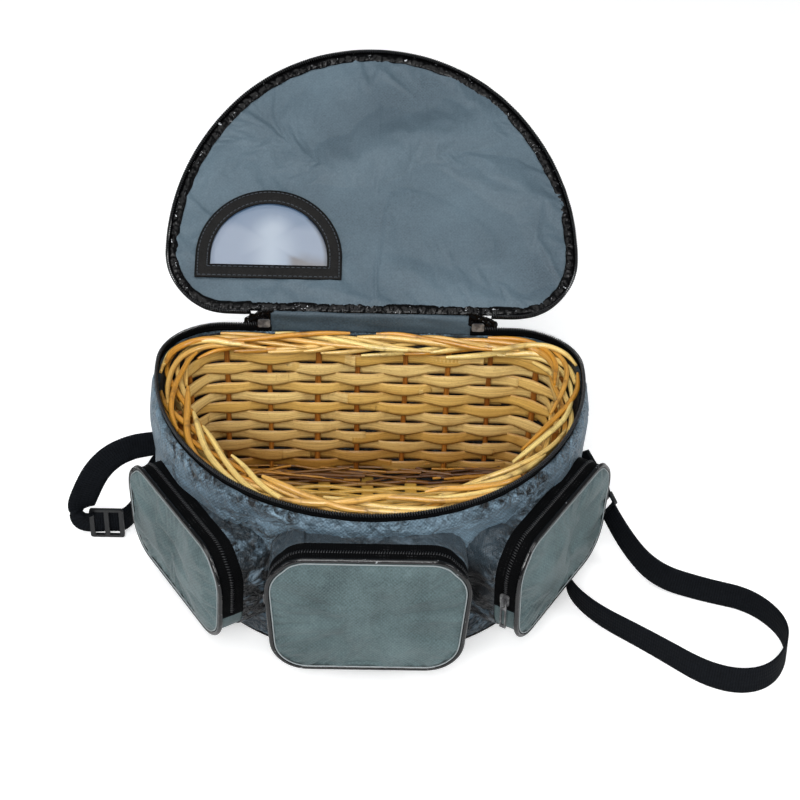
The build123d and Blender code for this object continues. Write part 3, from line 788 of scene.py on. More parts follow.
meshes, tints = [], []
y, phase = -0.094, 0
while y < 0.098:
    reach = half_width(y, FLOOR_GROW) - 0.001
    if reach > 0.04:
        meshes.append(floor_rod(y, phase % 2, reach, 0.0021))
        # Rods at the back of the floor, by the wall's foot, are given darker tints.
        tints.append(0.75 + 0.25 * random.random() if y < 0.088 else 0.3 * random.random())
    y += 0.0047
    phase += 1
floor_rods = gather("floor_rods", meshes, tints=tints)
place(floor_rods, floor_wood, "bag", "floor_wood", "basket_floor_rods")
print(phase, "floor rods")

meshes, tints = [], []
for index in range(130):
    start, reach = random.uniform(0, wall.length), random.uniform(0.04, 0.11)
    inward, height = random.uniform(-0.001, 0.018), random.uniform(0.0, 0.005)
    drift, tip = random.uniform(-0.010, 0.010), random.uniform(-0.003, 0.003)
    points = [wall.at(start + reach * step / 6, lean(0.01) - max(inward + drift * (step / 3 - 1), -0.0015),
                      0.0134 + height + max(tip * (step / 3 - 1), -0.002) + 0.0012 * noise.noise(Vector((index, step * 0.7, 2))))[0]
              for step in range(7)]
    meshes.append(rod_mesh(points, random.uniform(0.0009, 0.0018), sides=1, fine=2))
    tints.append(random.random() ** 2)
place(gather("foot_rods", meshes, tints=tints), foot_wood, "bag", "floor_wood")
print(len(tints), "thin rods round the foot")

meshes, tints = [], []
for index in range(-3, 4):
    x = index * STICK_PITCH
    depth = [y / 1000 for y in range(-104, 105, 2) if half_width(y / 1000, FLOOR_GROW) > abs(x) + 0.006]
    low_y, high_y = min(depth), max(depth)
    bm = bevelled_box((0.011, high_y - low_y, 0.0024), 0.0008)
    bmesh.ops.translate(bm, verts=bm.verts, vec=(x, (low_y + high_y) / 2, 0.0091))
    meshes.append(bm_mesh(bm))
    tints.append(random.random())
place(gather("floor_sticks", meshes, tints=tints), floor_wood, "bag", "floor_wood", "basket_floor_sticks")
print("floor sticks 7")

# %% [markdown]
# ## The cloth body
# The body is a tube of nylon sewn to the zip tape above and to the base below, a little longer
# than it needs to be, so it settles into soft folds. The cloth here is given that slack and left
# to settle, held at both seams, with the basket keeping it from falling inwards.

# %% Let cloth settle
def cloth_run(piece, cap, frames=20, pressure=0.0, slack=0.0, pins=None, bend=0.5, obstacle=None, guard=None):
    """Simulate a piece of cloth, then keep every point within cap of where it was sewn."""
    sewn = [vert.co.copy() for vert in piece.data.vertices]
    if pins:
        group = piece.vertex_groups.new(name="seams")
        for index in pins:
            group.add([index], 1.0, "REPLACE")
    if obstacle:
        obstacle.modifiers.new("stop", "COLLISION")
        obstacle.collision.thickness_outer = 0.0005
    cloth = piece.modifiers.new("cloth", "CLOTH")
    settings = cloth.settings
    settings.quality = 5
    settings.mass = 0.15
    settings.bending_stiffness = bend
    settings.effector_weights.gravity = 0.0
    settings.shrink_min = -slack
    if pins:
        settings.vertex_group_mass = "seams"
    if pressure:
        settings.use_pressure = True
        settings.uniform_pressure_force = pressure
    cloth.collision_settings.use_collision = obstacle is not None
    cloth.collision_settings.use_self_collision = False
    cloth.collision_settings.distance_min = 0.0005
    cloth.point_cache.frame_start, cloth.point_cache.frame_end = 1, frames
    for step in range(1, frames + 1):
        bpy.context.scene.frame_set(step)
    graph = bpy.context.evaluated_depsgraph_get()
    settled = [vert.co.copy() for vert in piece.evaluated_get(graph).data.vertices]
    piece.modifiers.remove(cloth)
    moved = 0.0
    for vert, start, end in zip(piece.data.vertices, sewn, settled):
        step = end - start
        if step.length > cap:
            step *= cap / step.length
        vert.co = start + step
        if guard:
            vert.co = guard(vert.co, start)
        moved = max(moved, (vert.co - start).length)
    if obstacle:
        bpy.data.objects.remove(obstacle)
    bpy.context.scene.frame_set(1)
    print(piece.name, "settled, furthest", round(moved * 1000, 1), "mm")
    return piece


def edge_points(piece):
    """The points on the open edges of a sheet."""
    bm = bmesh.new()
    bm.from_mesh(piece.data)
    found = [vert.index for vert in bm.verts if vert.is_boundary]
    bm.free()
    return found


def solid_cloth(piece, depth, fine=0):
    """Thickness for a settled sheet, and a finer surface if wanted."""
    bm = bmesh.new()
    bm.from_mesh(piece.data)
    if fine:
        bmesh.ops.subdivide_edges(bm, edges=bm.edges[:], cuts=fine, use_grid_fill=True, smooth=1.0)
    bmesh.ops.recalc_face_normals(bm, faces=bm.faces)
    bmesh.ops.solidify(bm, geom=bm.faces[:], thickness=depth)
    bmesh.ops.recalc_face_normals(bm, faces=bm.faces)
    bm.to_mesh(piece.data)
    bm.free()
    piece.data.shade_smooth()
    return piece


print("cloth can settle")

# %% Sew the body
def wall_place(low, high, outward=0.0, ripple=0.0):
    def place_point(u, v):
        z = low + (high - low) * v
        wave = ripple * noise.noise(Vector((u * 34, v * 3.5, 1.0))) * math.sin(math.pi * v) if ripple else 0.0
        return rim.at(u * rim.length, lean(z) + outward + wave, z)[0]
    return place_point


def stitches(name, point_at, length, pitch, long=0.62, thread=0.00032, rise=(0, 0, 1)):
    """A row of sewn stitches: short threads that dip at both ends."""
    meshes = []
    count = int(length / pitch)
    lift = Vector(rise) * thread
    for index in range(count):
        first, last = Vector(point_at(index / count)), Vector(point_at((index + long) / count))
        middle = (first + last) / 2
        line = [first - lift, first * 0.7 + middle * 0.3 + lift * 0.6, last * 0.7 + middle * 0.3 + lift * 0.6, last - lift]
        meshes.append(rod_mesh(line, thread, sides=0, smooth=False, fine=1, caps=False))
    return gather(name, meshes)


body = mesh_object("body_cloth", sheet_mesh(420, 54, (rim.length, 0.147), wall_place(0.0052, 0.1521, 0.0, 0.002)))
keeper = mesh_object("keeper", sheet_mesh(160, 8, (1, 1), wall_place(0.0, 0.16, -0.0022)))
cloth_run(body, 0.007, frames=24, slack=0.035, pins=edge_points(body), bend=0.05, obstacle=keeper)
solid_cloth(body, 0.0012)
place(body, body_cloth, "bag", "body_cloth", "bag_wall")
print("body", len(body.data.polygons), "faces")

rim_seam = stitches("rim_stitches", lambda s: rim.at(s * rim.length, lean(0.143) + 0.0013, 0.143)[0],
                    rim.length, 0.0034, thread=0.0004, rise=(0, 0, 1))
place(rim_seam, thread_plastic, "bag", "body_cloth")
# Painted shade: a near-black sheet just inside the body cloth, behind the basket, darkens the gaps of the weave.
shade_sheet = mesh_object("body_liner", sheet_mesh(160, 8, (rim.length, 0.144), wall_place(0.0062, 0.1505, -0.0042)))
place(shade_sheet, dark_cloth, "bag", "dark_cloth")
print("black liner behind the basket")

# %% Cut the base
bm = bmesh.new()
bmesh.ops.create_grid(bm, x_segments=90, y_segments=64, size=0.5)
layer = bm.loops.layers.uv.new("UVMap")
for vert in bm.verts:
    u, v = vert.co.x + 0.5, vert.co.y + 0.5
    y = -BACK_Y + 0.0086 + (2 * BACK_Y - 0.0172) * v
    vert.co = ((2 * u - 1) * half_width(y, -0.0085), y, 0.0006 + 0.0008 * noise.noise(Vector((u * 9, v * 7, 2))) ** 2)
for face in bm.faces:
    for loop in face.loops:
        loop[layer].uv = loop.vert.co.xy
bmesh.ops.solidify(bm, geom=bm.faces[:], thickness=-0.0042)
base = mesh_object("base_cloth", bm)
place(base, dark_cloth, "bag", "dark_cloth", "bag_base")

foot = Outline(-0.0093)
points = [foot.at(foot.length * step / 240, 0.0, 0.0024)[0] for step in range(240)]
base_cord = gather("base_piping_cord", [rod_mesh(points, 0.0022, sides=3, closed=True, fine=2)])
place(base_cord, binding_vinyl, "bag", "piping", "base_piping")
print("base sewn")

# %% [markdown]
# ## The zip round the mouth
# A coil zip is two woven tapes with a nylon spiral along each meeting edge. One half is sewn to
# the bag and the other to the lid, and both stop at the hinge cloth at the back.

# %% Sew the two halves of the zip
def tape_strip(name, first, last, low, high, outward=-0.0009):
    """Half a zip's tape, standing on the rim from one end of the hinge to the other."""
    span = last - first

    def place_point(u, v):
        z = low + (high - low) * v
        flutter = 0.0005 * noise.noise(Vector((u * 60, v * 2, low * 9)))
        return rim.at(first + u * span, outward + flutter, z)[0]

    return mesh_object(name, thicken(sheet_mesh(360, 4, (span, high - low), place_point), 0.0009))


def coil_spiral(name, first, last, z, pitch=0.0021, radius=0.0015, wire=0.00055):
    """The nylon spiral of a zip, wound round the edge of its tape."""
    turns = int((last - first) / pitch)
    points = []
    for step in range(turns * 6):
        angle = step / 6 * math.tau
        point, out = rim.at(first + step / 6 * pitch, -0.0009 + radius * 0.8 * math.cos(angle), z + radius * math.sin(angle))
        points.append(point)
    return gather(name, [rod_mesh(points, wire, sides=0, smooth=False, fine=1)])


HINGE_HALF = 0.088
bag_first, bag_last = rim.back / 2 + HINGE_HALF + 0.001, rim.length + rim.back / 2 - HINGE_HALF - 0.001
place(tape_strip("bag_tape", bag_first, bag_last, 0.1512, 0.1586), tape_cloth, "bag", "zip_tape", "bag_zip_tape")
place(coil_spiral("bag_coil", bag_first, bag_last, 0.158), coil_plastic, "bag", "zip_tape")


def tape_end(side):
    """The spare end of the zip, turned over and stitched down in a crumpled wad beside the hinge."""
    def place_point(u, v):
        x = side * (HINGE_HALF - 0.001 + 0.026 * u)
        crumple = 0.0016 * noise.noise(Vector((u * 7, v * 7, side * 3))) + 0.0008 * noise.noise(Vector((u * 17, v * 18, side)))
        return x, BACK_Y + 0.0002 + crumple, 0.1515 + (0.0222 - 0.0100 * u ** 2) * v + crumple * 0.4
    return bm_mesh(thicken(sheet_mesh(42, 30, (0.026, 0.0187), place_point), 0.0008))


place(gather("zip_tape_ends", [tape_end(-1), tape_end(1)]), binding_vinyl, "bag", "zip_tape")

OPEN = (Matrix.Translation((0, BACK_Y, FOLD_Z)) @ Matrix.Rotation(math.radians(-144), 4, "X")
        @ Matrix.Translation((0, -BACK_Y, -FOLD_Z)))
lid_first, lid_last = rim.back / 2 + 0.107, rim.length + rim.back / 2 - 0.107


def on_lid(piece, material, slot, *nodes):
    """Swing a piece drawn on the shut lid back to where the open lid rests."""
    piece.data.transform(OPEN)
    return place(piece, material, "lid", slot, *nodes)


on_lid(tape_strip("lid_tape", lid_first, lid_last, 0.1624, 0.1684), tape_cloth, "zip_tape", "lid_zip_tape")
on_lid(coil_spiral("lid_coil", lid_first, lid_last, 0.163), coil_plastic, "zip_tape")
print("zip", round(bag_last - bag_first, 3), "m round the mouth")

# %% [markdown]
# ## The lid
# The lid is a thin foam board between two cloths, bound all round with glossy vinyl that gathers
# into small puckers on the curve. Its inside shows the lining, slack enough to ripple, and a
# half-round window of clear film for a licence, framed in stitched leatherette.

# %% Shape the lid
class Loop:
    """A closed line of points in a plane, walked by its share of the way round."""

    def __init__(self, points):
        self.points = [Vector(p) for p in points]
        self.marks = [0.0]
        for one, other in zip(self.points, self.points[1:] + self.points[:1]):
            self.marks.append(self.marks[-1] + (other - one).length)
        self.length = self.marks[-1]
        area = sum(a.x * b.y - b.x * a.y for a, b in zip(self.points, self.points[1:] + self.points[:1]))
        self.turn = 1 if area < 0 else -1
        self.centre = sum(self.points, Vector((0, 0))) / len(self.points)
        spread = sorted((math.atan2(p.y - self.centre.y, p.x - self.centre.x), (p - self.centre).length)
                        for p in self.points)
        self.angles = [spread[-1][0] - math.tau] + [a for a, _ in spread] + [spread[0][0] + math.tau]
        self.reaches = [spread[-1][1]] + [r for _, r in spread] + [spread[0][1]]

    def at(self, share, outward=0.0):
        """Point on the line, pushed outwards."""
        target = (share % 1.0) * self.length
        index = min(bisect.bisect_right(self.marks, target), len(self.points)) - 1
        one, other = self.points[index], self.points[(index + 1) % len(self.points)]
        run = other - one
        along = (target - self.marks[index]) / max(run.length, 1e-9)
        out = Vector((-run.y, run.x)).normalized() * self.turn
        return one + run * along + out * outward

    def reach(self, angle):
        index = bisect.bisect_right(self.angles, angle)
        low, high = self.angles[index - 1], self.angles[index]
        share = (angle - low) / max(high - low, 1e-9)
        return self.reaches[index - 1] * (1 - share) + self.reaches[index] * share

    def fill(self, u, v, half, inset=0.0):
        """Place inside the line for a square sheet stretched to fill it."""
        x, y = (2 * u - 1) * half[0], (2 * v - 1) * half[1]
        distance = math.hypot(x, y)
        if distance < 1e-9:
            return self.centre.copy()
        angle = math.atan2(y, x)
        edge = min(half[0] / max(abs(math.cos(angle)), 1e-9), half[1] / max(abs(math.sin(angle)), 1e-9))
        share = distance / edge * (self.reach(angle) - inset) / distance
        return self.centre + Vector((x, y)) * share


def plane_uvs(piece, right, up):
    """UVs in metres, measured along two directions."""
    layer = piece.data.uv_layers.new(name="UVMap") if not piece.data.uv_layers else piece.data.uv_layers[0]
    for loop in piece.data.loops:
        co = piece.data.vertices[loop.vertex_index].co
        layer.data[loop.index].uv = (co.dot(right), co.dot(up))


LID_FOOT = BACK_Y - 0.0028
d_points = [rim.at(rim.length * step / 720, -0.002)[0].xy for step in range(720)]
lid_loop = Loop([(p.x, min(p.y, LID_FOOT)) for p in d_points])
print("lid edge", round(lid_loop.length, 3), "m")

# %% Window in the lid
WINDOW_X, WINDOW_FOOT, WINDOW_R = -0.093, BACK_Y - 0.033, 0.0655


def window_line(grow, arch=64, side=8, foot=36):
    """The window's edge at an offset: an arch on a straight foot, always in the same steps."""
    radius = WINDOW_R + grow
    base = WINDOW_FOOT + grow
    shoulder = WINDOW_FOOT - 0.086 + WINDOW_R
    points = [(WINDOW_X - radius + 2 * radius * k / foot, base) for k in range(foot)]
    points += [(WINDOW_X + radius, base + (shoulder - base) * k / side) for k in range(side)]
    points += [(WINDOW_X + radius * math.cos(math.pi * k / arch), shoulder - radius * math.sin(math.pi * k / arch))
               for k in range(arch)]
    points += [(WINDOW_X - radius, shoulder + (base - shoulder) * k / side) for k in range(side)]
    return points


def between(lines, u, v):
    """A place between two matching lines."""
    count = len(lines[0])
    spot = (u % 1.0) * count
    index, share = int(spot) % count, spot - int(spot)
    ends = [Vector(line[index]) * (1 - share) + Vector(line[(index + 1) % count]) * share for line in lines]
    return ends[0] * (1 - v) + ends[1] * v


def window_frame(name, z, thick, crown):
    """The band of leatherette round the window, rounded over at both edges."""
    lines = [window_line(0.0), window_line(-0.0128)]
    loop = Loop(lines[0])

    def place_point(u, v):
        spot = between(lines, u, v)
        return (*spot, z + crown * (1 - (2 * v - 1) ** 4))

    bm = sheet_mesh(len(lines[0]), 8, (loop.length, 0.0128), place_point)
    bmesh.ops.remove_doubles(bm, verts=bm.verts, dist=0.00002)
    bmesh.ops.solidify(bm, geom=bm.faces[:], thickness=thick)
    return mesh_object(name, bm)


lid_frame = window_frame("window_frame", 0.1652, -0.0009, -0.0008)
sewn_at = min(vert.co.z for vert in lid_frame.data.vertices)
on_lid(lid_frame, frame_vinyl, "leatherette", "lid_window_frame")
for index, grow in enumerate((-0.0022, -0.0106)):
    line = window_line(grow)
    row = stitches(f"window_stitches_{index + 1}", lambda s, line=line: (*between([line, line], s, 0), sewn_at),
                   Loop(line).length, 0.0040, thread=0.00045, rise=(0, 0, -1))
    on_lid(row, window_thread, "leatherette")
lid_trim = window_frame("window_trim", 0.1745, 0.0009, 0.0006)
on_lid(lid_trim, frame_vinyl, "leatherette", "lid_window_trim")

film_loop = Loop(window_line(-0.006))


def film_point(u, v):
    spot = film_loop.fill(u, v, (0.06, 0.042))
    ripple = 0.0005 * noise.noise(Vector((spot.x * 45, spot.y * 30, 4)))
    return (*spot, 0.1663 + ripple)


film = mesh_object("window_film", sheet_mesh(48, 40, (0.12, 0.08), film_point))
on_lid(film, window_film, "film", "lid_window_film")
print("window", round(2 * WINDOW_R, 3), "m wide")

# %% Lining, binding and foam board
window_hole = Loop(window_line(-0.009))


def inside_hole(x, y):
    step = Vector((x, y)) - window_hole.centre
    return step.length < window_hole.reach(math.atan2(step.y, step.x))


FOLDS = [  # middle x and y, direction in degrees, half length and half width of each soft fold
    (-0.012, -0.108, 70, 0.022, 0.0045), (0.006, -0.112, 115, 0.020, 0.0040), (0.020, -0.100, 40, 0.030, 0.0050),
    (0.085, -0.085, 35, 0.035, 0.0060), (0.150, 0.040, 100, 0.030, 0.0050), (0.160, 0.075, 65, 0.028, 0.0050),
    (0.100, 0.112, 8, 0.050, 0.0060), (-0.030, 0.112, 12, 0.030, 0.0050), (-0.165, 0.075, 55, 0.030, 0.0045),
    (-0.150, 0.040, 48, 0.028, 0.0050), (0.130, 0.000, 20, 0.045, 0.0120), (0.040, -0.040, 165, 0.060, 0.0160),
]


def fold_height(x, y):
    """Soft ridges where the lining is gathered at its seam."""
    height = 0.0
    for middle_x, middle_y, turn, long, wide in FOLDS:
        dx, dy = x - middle_x, y - middle_y
        along = dx * math.cos(math.radians(turn)) + dy * math.sin(math.radians(turn))
        across = dy * math.cos(math.radians(turn)) - dx * math.sin(math.radians(turn))
        height += 0.34 * wide * math.exp(-(along / long) ** 2 - (across / wide) ** 2)
    return height


def lining_point(u, v):
    spot = lid_loop.fill(u, v, (0.18, 0.126), 0.003)
    crease = 0.0007 * math.exp(-((spot.x - 0.004) / 0.0012) ** 2)
    return (*spot, 0.1670 - fold_height(*spot) - crease + 0.0005 * noise.noise(Vector((spot.x * 12, spot.y * 12, 7))))


def drop_hole(bm):
    """Cut the window's hole out of a sheet."""
    bmesh.ops.delete(bm, geom=[f for f in bm.faces if inside_hole(*f.calc_center_median().xy)], context="FACES")
    return bm


lining = mesh_object("lid_lining_cloth", drop_hole(sheet_mesh(220, 150, (0.36, 0.25), lining_point)))
cloth_run(lining, 0.0035, frames=20, slack=0.012, pins=edge_points(lining), bend=0.8,
          guard=lambda co, start: Vector((co.x, co.y, min(co.z, 0.1676))))
plane_uvs(lining, Vector((1, 0, 0)), Vector((0, 1, 0)))
on_lid(solid_cloth(lining, 0.0006), lining_cloth, "lining_cloth", "lid_lining")

BINDING = 0.0088


def binding_point(u, v):
    """Glossy strip from the lid's edge in over the lining, gathered into puckers."""
    spot = lid_loop.at(u, 0.0004 - BINDING * v)
    gatherings = noise.noise(Vector((u * 260, v * 1.5, 0))) + 0.7 * noise.noise(Vector((u * 620, v * 3, 5)))
    wander = 0.0011 * v * noise.noise(Vector((u * 90, 0, 9)))
    spot += (lid_loop.centre - spot).normalized() * wander
    hump = math.sin(math.pi * min(max(v, 0.03), 0.97)) ** 0.6
    return (*spot, 0.1666 - 0.0016 * hump - 0.0011 * gatherings * hump)


binding = mesh_object("lid_binding_strip", sheet_mesh(1100, 10, (lid_loop.length, BINDING), binding_point))
on_lid(solid_cloth(binding, 0.0004), binding_vinyl, "piping", "lid_binding")


def cad_copy(name, node, undo=None):
    """A merged copy of a CAD node's mesh to start a padded piece from."""
    bm = bmesh.new()
    bm.from_mesh(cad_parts[node].data)
    if undo:
        bmesh.ops.transform(bm, matrix=undo, verts=bm.verts)
    return mesh_object(name, bm)


def apply_modifiers(piece):
    graph = bpy.context.evaluated_depsgraph_get()
    mesh = bpy.data.meshes.new_from_object(piece.evaluated_get(graph))
    piece.modifiers.clear()
    old = piece.data
    piece.data = mesh
    bpy.data.meshes.remove(old)
    return piece


def remeshed(piece, voxel):
    """Even out a piece's faces so it can swell."""
    change = piece.modifiers.new("remesh", "REMESH")
    change.mode = "VOXEL"
    change.voxel_size = voxel
    return apply_modifiers(piece)


pad = remeshed(cad_copy("lid_pad", "lid_panel", OPEN.inverted()), 0.0045)
cloth_run(pad, 0.005, frames=20, pressure=4.0, bend=0.5,
          guard=lambda co, start: Vector((co.x, co.y, max(co.z, 0.1679))))
smoother = pad.modifiers.new("finer", "SUBSURF")
smoother.levels = smoother.render_levels = 1
apply_modifiers(pad)
plane_uvs(pad, Vector((1, 0, 0)), Vector((0, 1, 0)))
pad.data.shade_smooth()
on_lid(pad, lid_cloth, "body_cloth", "lid_panel")
print("lid pad", len(pad.data.polygons), "faces")

# %% [markdown]
# ## The hinge cloth
# The lid has no metal hinge: one strip of nylon, doubled over, is sewn to the rim at the back
# and to the lid. When the lid leans back the strip bends round in a soft fold.

# %% Fold the hinge
def hinge_point(u, v):
    """Up from the rim, round the fold and onto the lid's edge, in the open pose."""
    x = (2 * u - 1) * 0.0895
    turn = math.radians(144)
    rise, radius, reach = 0.0158, 0.0042, 0.0095
    total = rise + radius * turn + reach
    walked = v * total
    if walked < rise:
        y, z = 0.0, walked
    elif walked < rise + radius * turn:
        angle = (walked - rise) / radius
        y, z = radius * (1 - math.cos(angle)), rise + radius * math.sin(angle)
    else:
        rest = walked - rise - radius * turn
        y = radius * (1 - math.cos(turn)) + rest * math.sin(turn)
        z = rise + radius * math.sin(turn) + rest * math.cos(turn)
    puff = 0.0022 * noise.noise(Vector((x * 26 + v * 2.4, v * 2.6, 2))) * math.sin(math.pi * v)
    return x, BACK_Y - 0.0012 + y - puff, 0.1512 + z + puff * 0.5


hinge = mesh_object("hinge_strip", thicken(sheet_mesh(90, 22, (0.179, 0.033), hinge_point), 0.0012))
hinge.data.materials.append(hinge_cloth)
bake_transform(hinge)
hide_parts("hinge_panel", "lid_flap")
print("hinge strip", len(hinge.data.polygons), "faces")

# %% [markdown]
# ## Three pockets
# Each pocket is a small bag of its own: a stiffened face edged with glossy piping, a broad zip
# band along its top and shoulders, and a gusset of nylon that meets the body. The zip opens
# like a mouth, so the angler can reach in with one hand.

# %% Pocket patterns
def rounded(corners, radius, steps=10):
    """A polygon's line with its corners turned on a radius."""
    points = []
    count = len(corners)
    for index in range(count):
        before, here, after = (Vector(corners[(index + k) % count]) for k in (-1, 0, 1))
        one, other = (before - here).normalized(), (after - here).normalized()
        half = math.acos(max(min(one.dot(other), 1), -1)) / 2
        back = radius / math.tan(half)
        middle = here + (one + other).normalized() * (radius / math.sin(half))
        start, end = here + one * back - middle, here + other * back - middle
        first = math.atan2(start.y, start.x)
        sweep = (math.atan2(end.y, end.x) - first + math.pi) % math.tau - math.pi
        points += [middle + Vector((math.cos(first + sweep * k / steps), math.sin(first + sweep * k / steps))) * radius
                   for k in range(steps + 1)]
    return points


def finer(points, step):
    """The same closed line in even short steps."""
    loop = Loop(points)
    count = int(loop.length / step)
    return [loop.at(k / count) for k in range(count)]


class Pocket:
    """Sizes and place of one pocket, with its pattern drawn flat."""

    def __init__(self, name, turn, reach, shift, width, low, high):
        self.name, self.width, self.low, self.high = name, width, low, high
        turn = math.radians(turn)
        self.out = Vector((math.sin(turn), -math.cos(turn), 0))
        self.right = Vector((math.cos(turn), math.sin(turn), 0))
        self.origin = self.out * reach + self.right * shift
        crown = 0.006
        top, bottom, shoulder = width / 2, (width - 0.014) / 2, high - crown
        line = rounded([(-top, shoulder), (-bottom, low), (bottom, low), (top, shoulder)], 0.027)
        lift = [Vector((p.x, p.y + crown * max(0, 1 - (p.x / top) ** 2) * (p.y > shoulder - 0.004))) for p in line]
        self.loop = Loop(finer(finer(lift, 0.004), 0.0015))

    def spot(self, x, y, z=0.0):
        """From the pattern to the creel: right, up and out."""
        return self.origin + self.right * x + Vector((0, 0, y)) + self.out * z

    def depth(self, x, y):
        """How far behind the face the body's cloth lies."""
        grow = lean(y)
        for step in range(0, 184):
            point = self.spot(x, y, -step * 0.0005)
            if abs(point.x) < half_width(point.y, grow):
                return step * 0.0005
        return 0.09


pockets = [Pocket("front", 0, 0.162, 0.0, 0.158, 0.028, 0.140),
           Pocket("left", -58, 0.175, -0.018, 0.164, 0.0305, 0.120),
           Pocket("right", 58, 0.175, 0.022, 0.164, 0.0305, 0.129)]
for pocket in pockets:
    print(pocket.name, "pocket, round its face", round(pocket.loop.length, 3), "m")

# %% Sew the pockets
ZIP_DROP = 0.062
ZIP_WIDTH = 0.020


def sleeve(pocket, name, share_from, share_to, near, far, ripple, thick=0.0011):
    """Cloth round the pocket between two depths behind the face."""
    loop = pocket.loop
    span = (share_to - share_from) * loop.length
    depths = {}

    def place_point(u, v):
        share = share_from + (share_to - share_from) * u
        edge = loop.at(share)
        key = round(share, 5)
        if key not in depths:
            depths[key] = pocket.depth(edge.x, edge.y) + 0.002 if far is None else far
        depth = near + (max(depths[key], near) - near) * v
        fold = noise.noise(Vector((share * 40, depth * 60, ord(name[0]) * 1.7))) + 0.5 * noise.noise(Vector((share * 95, depth * 90, 3)))
        outward = -0.0002 + ripple * fold * math.sin(math.pi * v)
        flat = loop.at(share, outward)
        return pocket.spot(flat.x, flat.y, -depth)

    bm = sheet_mesh(max(int(span / 0.002), 8), 16, (span, 0.05), place_point)
    thicken(bm, thick)
    return bm_mesh(bm)


def zip_shares(pocket):
    """Where the zip starts and ends, as shares of the way round the face."""
    loop = pocket.loop
    count = 720
    inside = [k / count for k in range(count) if loop.at(k / count).y > pocket.high - ZIP_DROP]
    outside = [k / count for k in range(count) if loop.at(k / count).y <= pocket.high - ZIP_DROP]
    if 0.0 in inside:
        start = max(outside)
        end = min(outside) + 1.0
        return start, end
    return min(inside), max(inside)


def pocket_coil(pocket, first, last, pitch=0.0021, radius=0.0015, wire=0.00055):
    loop = pocket.loop
    turns = int((last - first) * loop.length / pitch)
    points = []
    for step in range(turns * 6):
        angle = step / 6 * math.tau
        flat = loop.at(first + (last - first) * step / (turns * 6), 0.0006 + radius * 0.7 * math.cos(angle))
        points.append(pocket.spot(flat.x, flat.y, -ZIP_WIDTH / 2 + radius * math.sin(angle)))
    return gather(f"pocket_{pocket.name}_coil", [rod_mesh(points, wire, sides=0, smooth=False, fine=1)])


for pocket in pockets:
    tag = f"pocket_{pocket.name}"
    first, last = zip_shares(pocket)
    band = gather(f"{tag}_zip_band", [sleeve(pocket, "band", first, last, 0.0, ZIP_WIDTH, 0.0005)])
    place(band, tape_cloth, "bag", "zip_tape", f"{tag}_zip")
    place(pocket_coil(pocket, first + 0.01, last - 0.01), coil_plastic, "bag", "zip_tape")
    for row, depth in enumerate((0.0035, 0.0065, 0.0137, 0.0168)):
        def seam(share, pocket=pocket, first=first, last=last, depth=depth):
            flat = pocket.loop.at(first + (last - first) * share, 0.0004)
            return pocket.spot(flat.x, flat.y, -depth)
        line = stitches(f"{tag}_zip_stitches_{row + 1}", seam, (last - first) * pocket.loop.length, 0.0030,
                        rise=pocket.out * 0.2 + Vector((0, 0, 1)))
        place(line, thread_plastic, "bag", "zip_tape")
    side = gather(f"{tag}_side_cloth", [sleeve(pocket, "under", last, first + 1.0, 0.0, ZIP_WIDTH, 0.0006)])
    place(side, pocket_cloth, "bag", "pocket_cloth")
    gusset = gather(f"{tag}_gusset_cloth", [sleeve(pocket, "over", 0.0, 1.0, ZIP_WIDTH, None, 0.003)])
    place(gusset, gusset_cloth, "bag", "body_cloth", f"{tag}_gusset")

    half = (pocket.width / 2, (pocket.high - pocket.low) / 2)

    def face_point(u, v, pocket=pocket, half=half):
        flat = pocket.loop.fill(u, v, half, 0.0002)
        edge = min(u, 1 - u, v, 1 - v)
        turn = math.atan2(v - 0.5, u - 0.5)
        pucker = 0.0018 * noise.noise(Vector((turn * 11, 0, ord(tag[7])))) * math.exp(-edge * 12) * min(edge * 30, 1)
        swell = 0.0024 * noise.noise(Vector((flat.x * 16, flat.y * 22, ord(tag[7])))) * min(edge * 9, 1)
        return pocket.spot(flat.x, flat.y, 0.0012 + 0.0016 * min(edge * 9, 1) ** 0.5 + pucker * 2 + swell)

    face = mesh_object(f"{tag}_face_cloth", sheet_mesh(78, 58, (pocket.width, 0.11), face_point))
    cloth_run(face, 0.005, frames=20, pressure=1.2, slack=0.035, pins=edge_points(face), bend=0.6)
    plane_uvs(face, pocket.right, Vector((0, 0, 1)))
    solid_cloth(face, 0.0012)
    place(face, pocket_cloth, "bag", "pocket_cloth", f"{tag}_face")

    # The light grey lip is partly the face cloth's pale edge and partly a painted highlight along the piping cord.
    for part, outward, forward, radius, material in (("piping_cord", 0.0016, 0.0010, 0.0020, piping_vinyl),
                                                     ("piping_lip", -0.0009, 0.0026, 0.0005, lip_vinyl)):
        line = []
        for step in range(200):
            flat = pocket.loop.at(step / 200, outward)
            line.append(pocket.spot(flat.x, flat.y, forward))
        cord = gather(f"{tag}_{part}", [rod_mesh(line, radius, sides=3, closed=True, fine=3)])
        place(cord, material, "bag", "piping", *([f"{tag}_piping"] if part == "piping_cord" else []))
print("pockets sewn")

# %% [markdown]
# ## Zip sliders
# Cast sliders with small pulls, each a CAD part of its own, get soft edges and a plated finish.

# %% Finish the sliders
for name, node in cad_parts.items():
    if name.endswith(("_slider", "_pull", "slider_left", "slider_right", "pull_left", "pull_right")):
        bevel = node.modifiers.new("soft_edges", "BEVEL")
        bevel.width = 0.00025
        bevel.segments = 2
        node.data.materials.clear()
        node.data.materials.append(slider_metal)
print("sliders finished")

# %% [markdown]
# ## The shoulder strap
# One length of 25 mm polyester webbing runs from a patch on one side, behind the bag and out to
# the other side, where a ring and a short doubled tab take it. It stands on its edge as it lies.

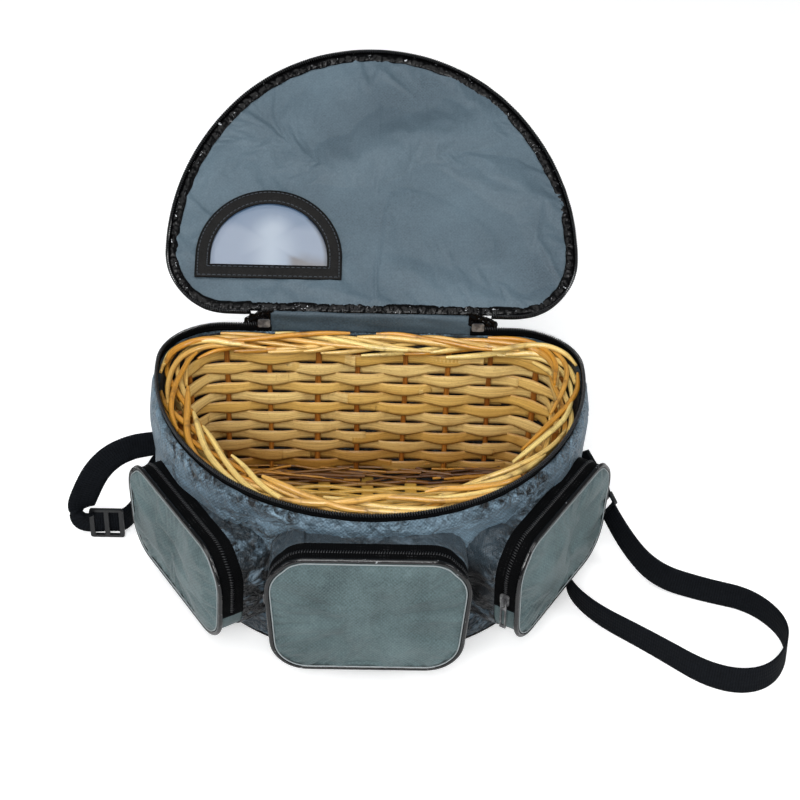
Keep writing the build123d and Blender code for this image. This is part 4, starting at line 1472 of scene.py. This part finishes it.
# %% Lay the strap
STRAP = [(-180, 47, 88), (-197, 44, 88), (-212, 38, 87), (-226, 33, 81), (-238, 28, 69), (-247, 24, 51), (-254, 21, 33),
         (-251, 20, 19), (-240, 23, 15.8), (-228, 25, 15.8), (-214, 25, 15.8), (-203, 62, 12.8), (-200, 112, 12.8), (-160, 152, 12.8), (-82, 150, 12.8),
         (0, 158, 12.8), (82, 150, 12.8), (160, 152, 12.8), (200, 110, 12.8), (199, 52, 12.8),
         (184, 2, 12.8), (168, -38, 12.8), (188, -78, 12.8), (234, -114, 12.8), (286, -160, 12.8),
         (332, -156, 12.8), (358, -106, 12.8), (334, -62, 12.8), (288, -48, 12.8), (250, -34, 16),
         (226, -2, 28), (214, 20, 42)]
route = [Vector(p) / 1000 for p in STRAP]
strap_line = curve_mesh(line_curve("strap_line", route, smooth=True, fine=12))
path = [vert.co.copy() for vert in strap_line.vertices]
bpy.data.meshes.remove(strap_line)
marks = [0.0]
for one, other in zip(path, path[1:]):
    marks.append(marks[-1] + (other - one).length)
strap_length = marks[-1]


def along_strap(distance):
    """Point and direction at a distance along the strap."""
    distance = min(max(distance, 0.0), strap_length - 1e-6)
    index = bisect.bisect_right(marks, distance) - 1
    one, other = path[index], path[index + 1]
    return one + (other - one) * ((distance - marks[index]) / (marks[index + 1] - marks[index])), (other - one)


def strap_point(u, v):
    distance = u * strap_length
    here, _ = along_strap(distance)
    run = (along_strap(distance + 0.006)[0] - along_strap(distance - 0.006)[0]).normalized()
    side = run.cross(Vector((0, 0, 1))).normalized()
    up = side.cross(run)
    tilt = 0.12 * math.sin(distance * 17) + 0.1 * noise.noise(Vector((distance * 9, 0, 0)))
    across = (2 * v - 1) * 0.0123
    return here + (up * math.cos(tilt) + side * math.sin(tilt)) * across


bm = sheet_mesh(620, 6, (strap_length, 0.0246), strap_point)
thicken(bm, 0.0014)
strap = mesh_object("shoulder_strap", bm)
place(strap, webbing_cloth, "bag", "webbing", "strap_webbing")
for node, material, name in (("strap_ring", buckle_plastic, "buckle_plastic"), ("strap_buckle", buckle_plastic, "buckle_plastic"),
                             ("strap_link", webbing_cloth, "webbing"), ("strap_patch_left", body_cloth, "body_cloth"),
                             ("strap_patch_right", body_cloth, "body_cloth")):
    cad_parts[node].data.materials.clear()
    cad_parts[node].data.materials.append(material)
[tuple(p) for p in path]
print("strap", round(strap_length, 3), "m")
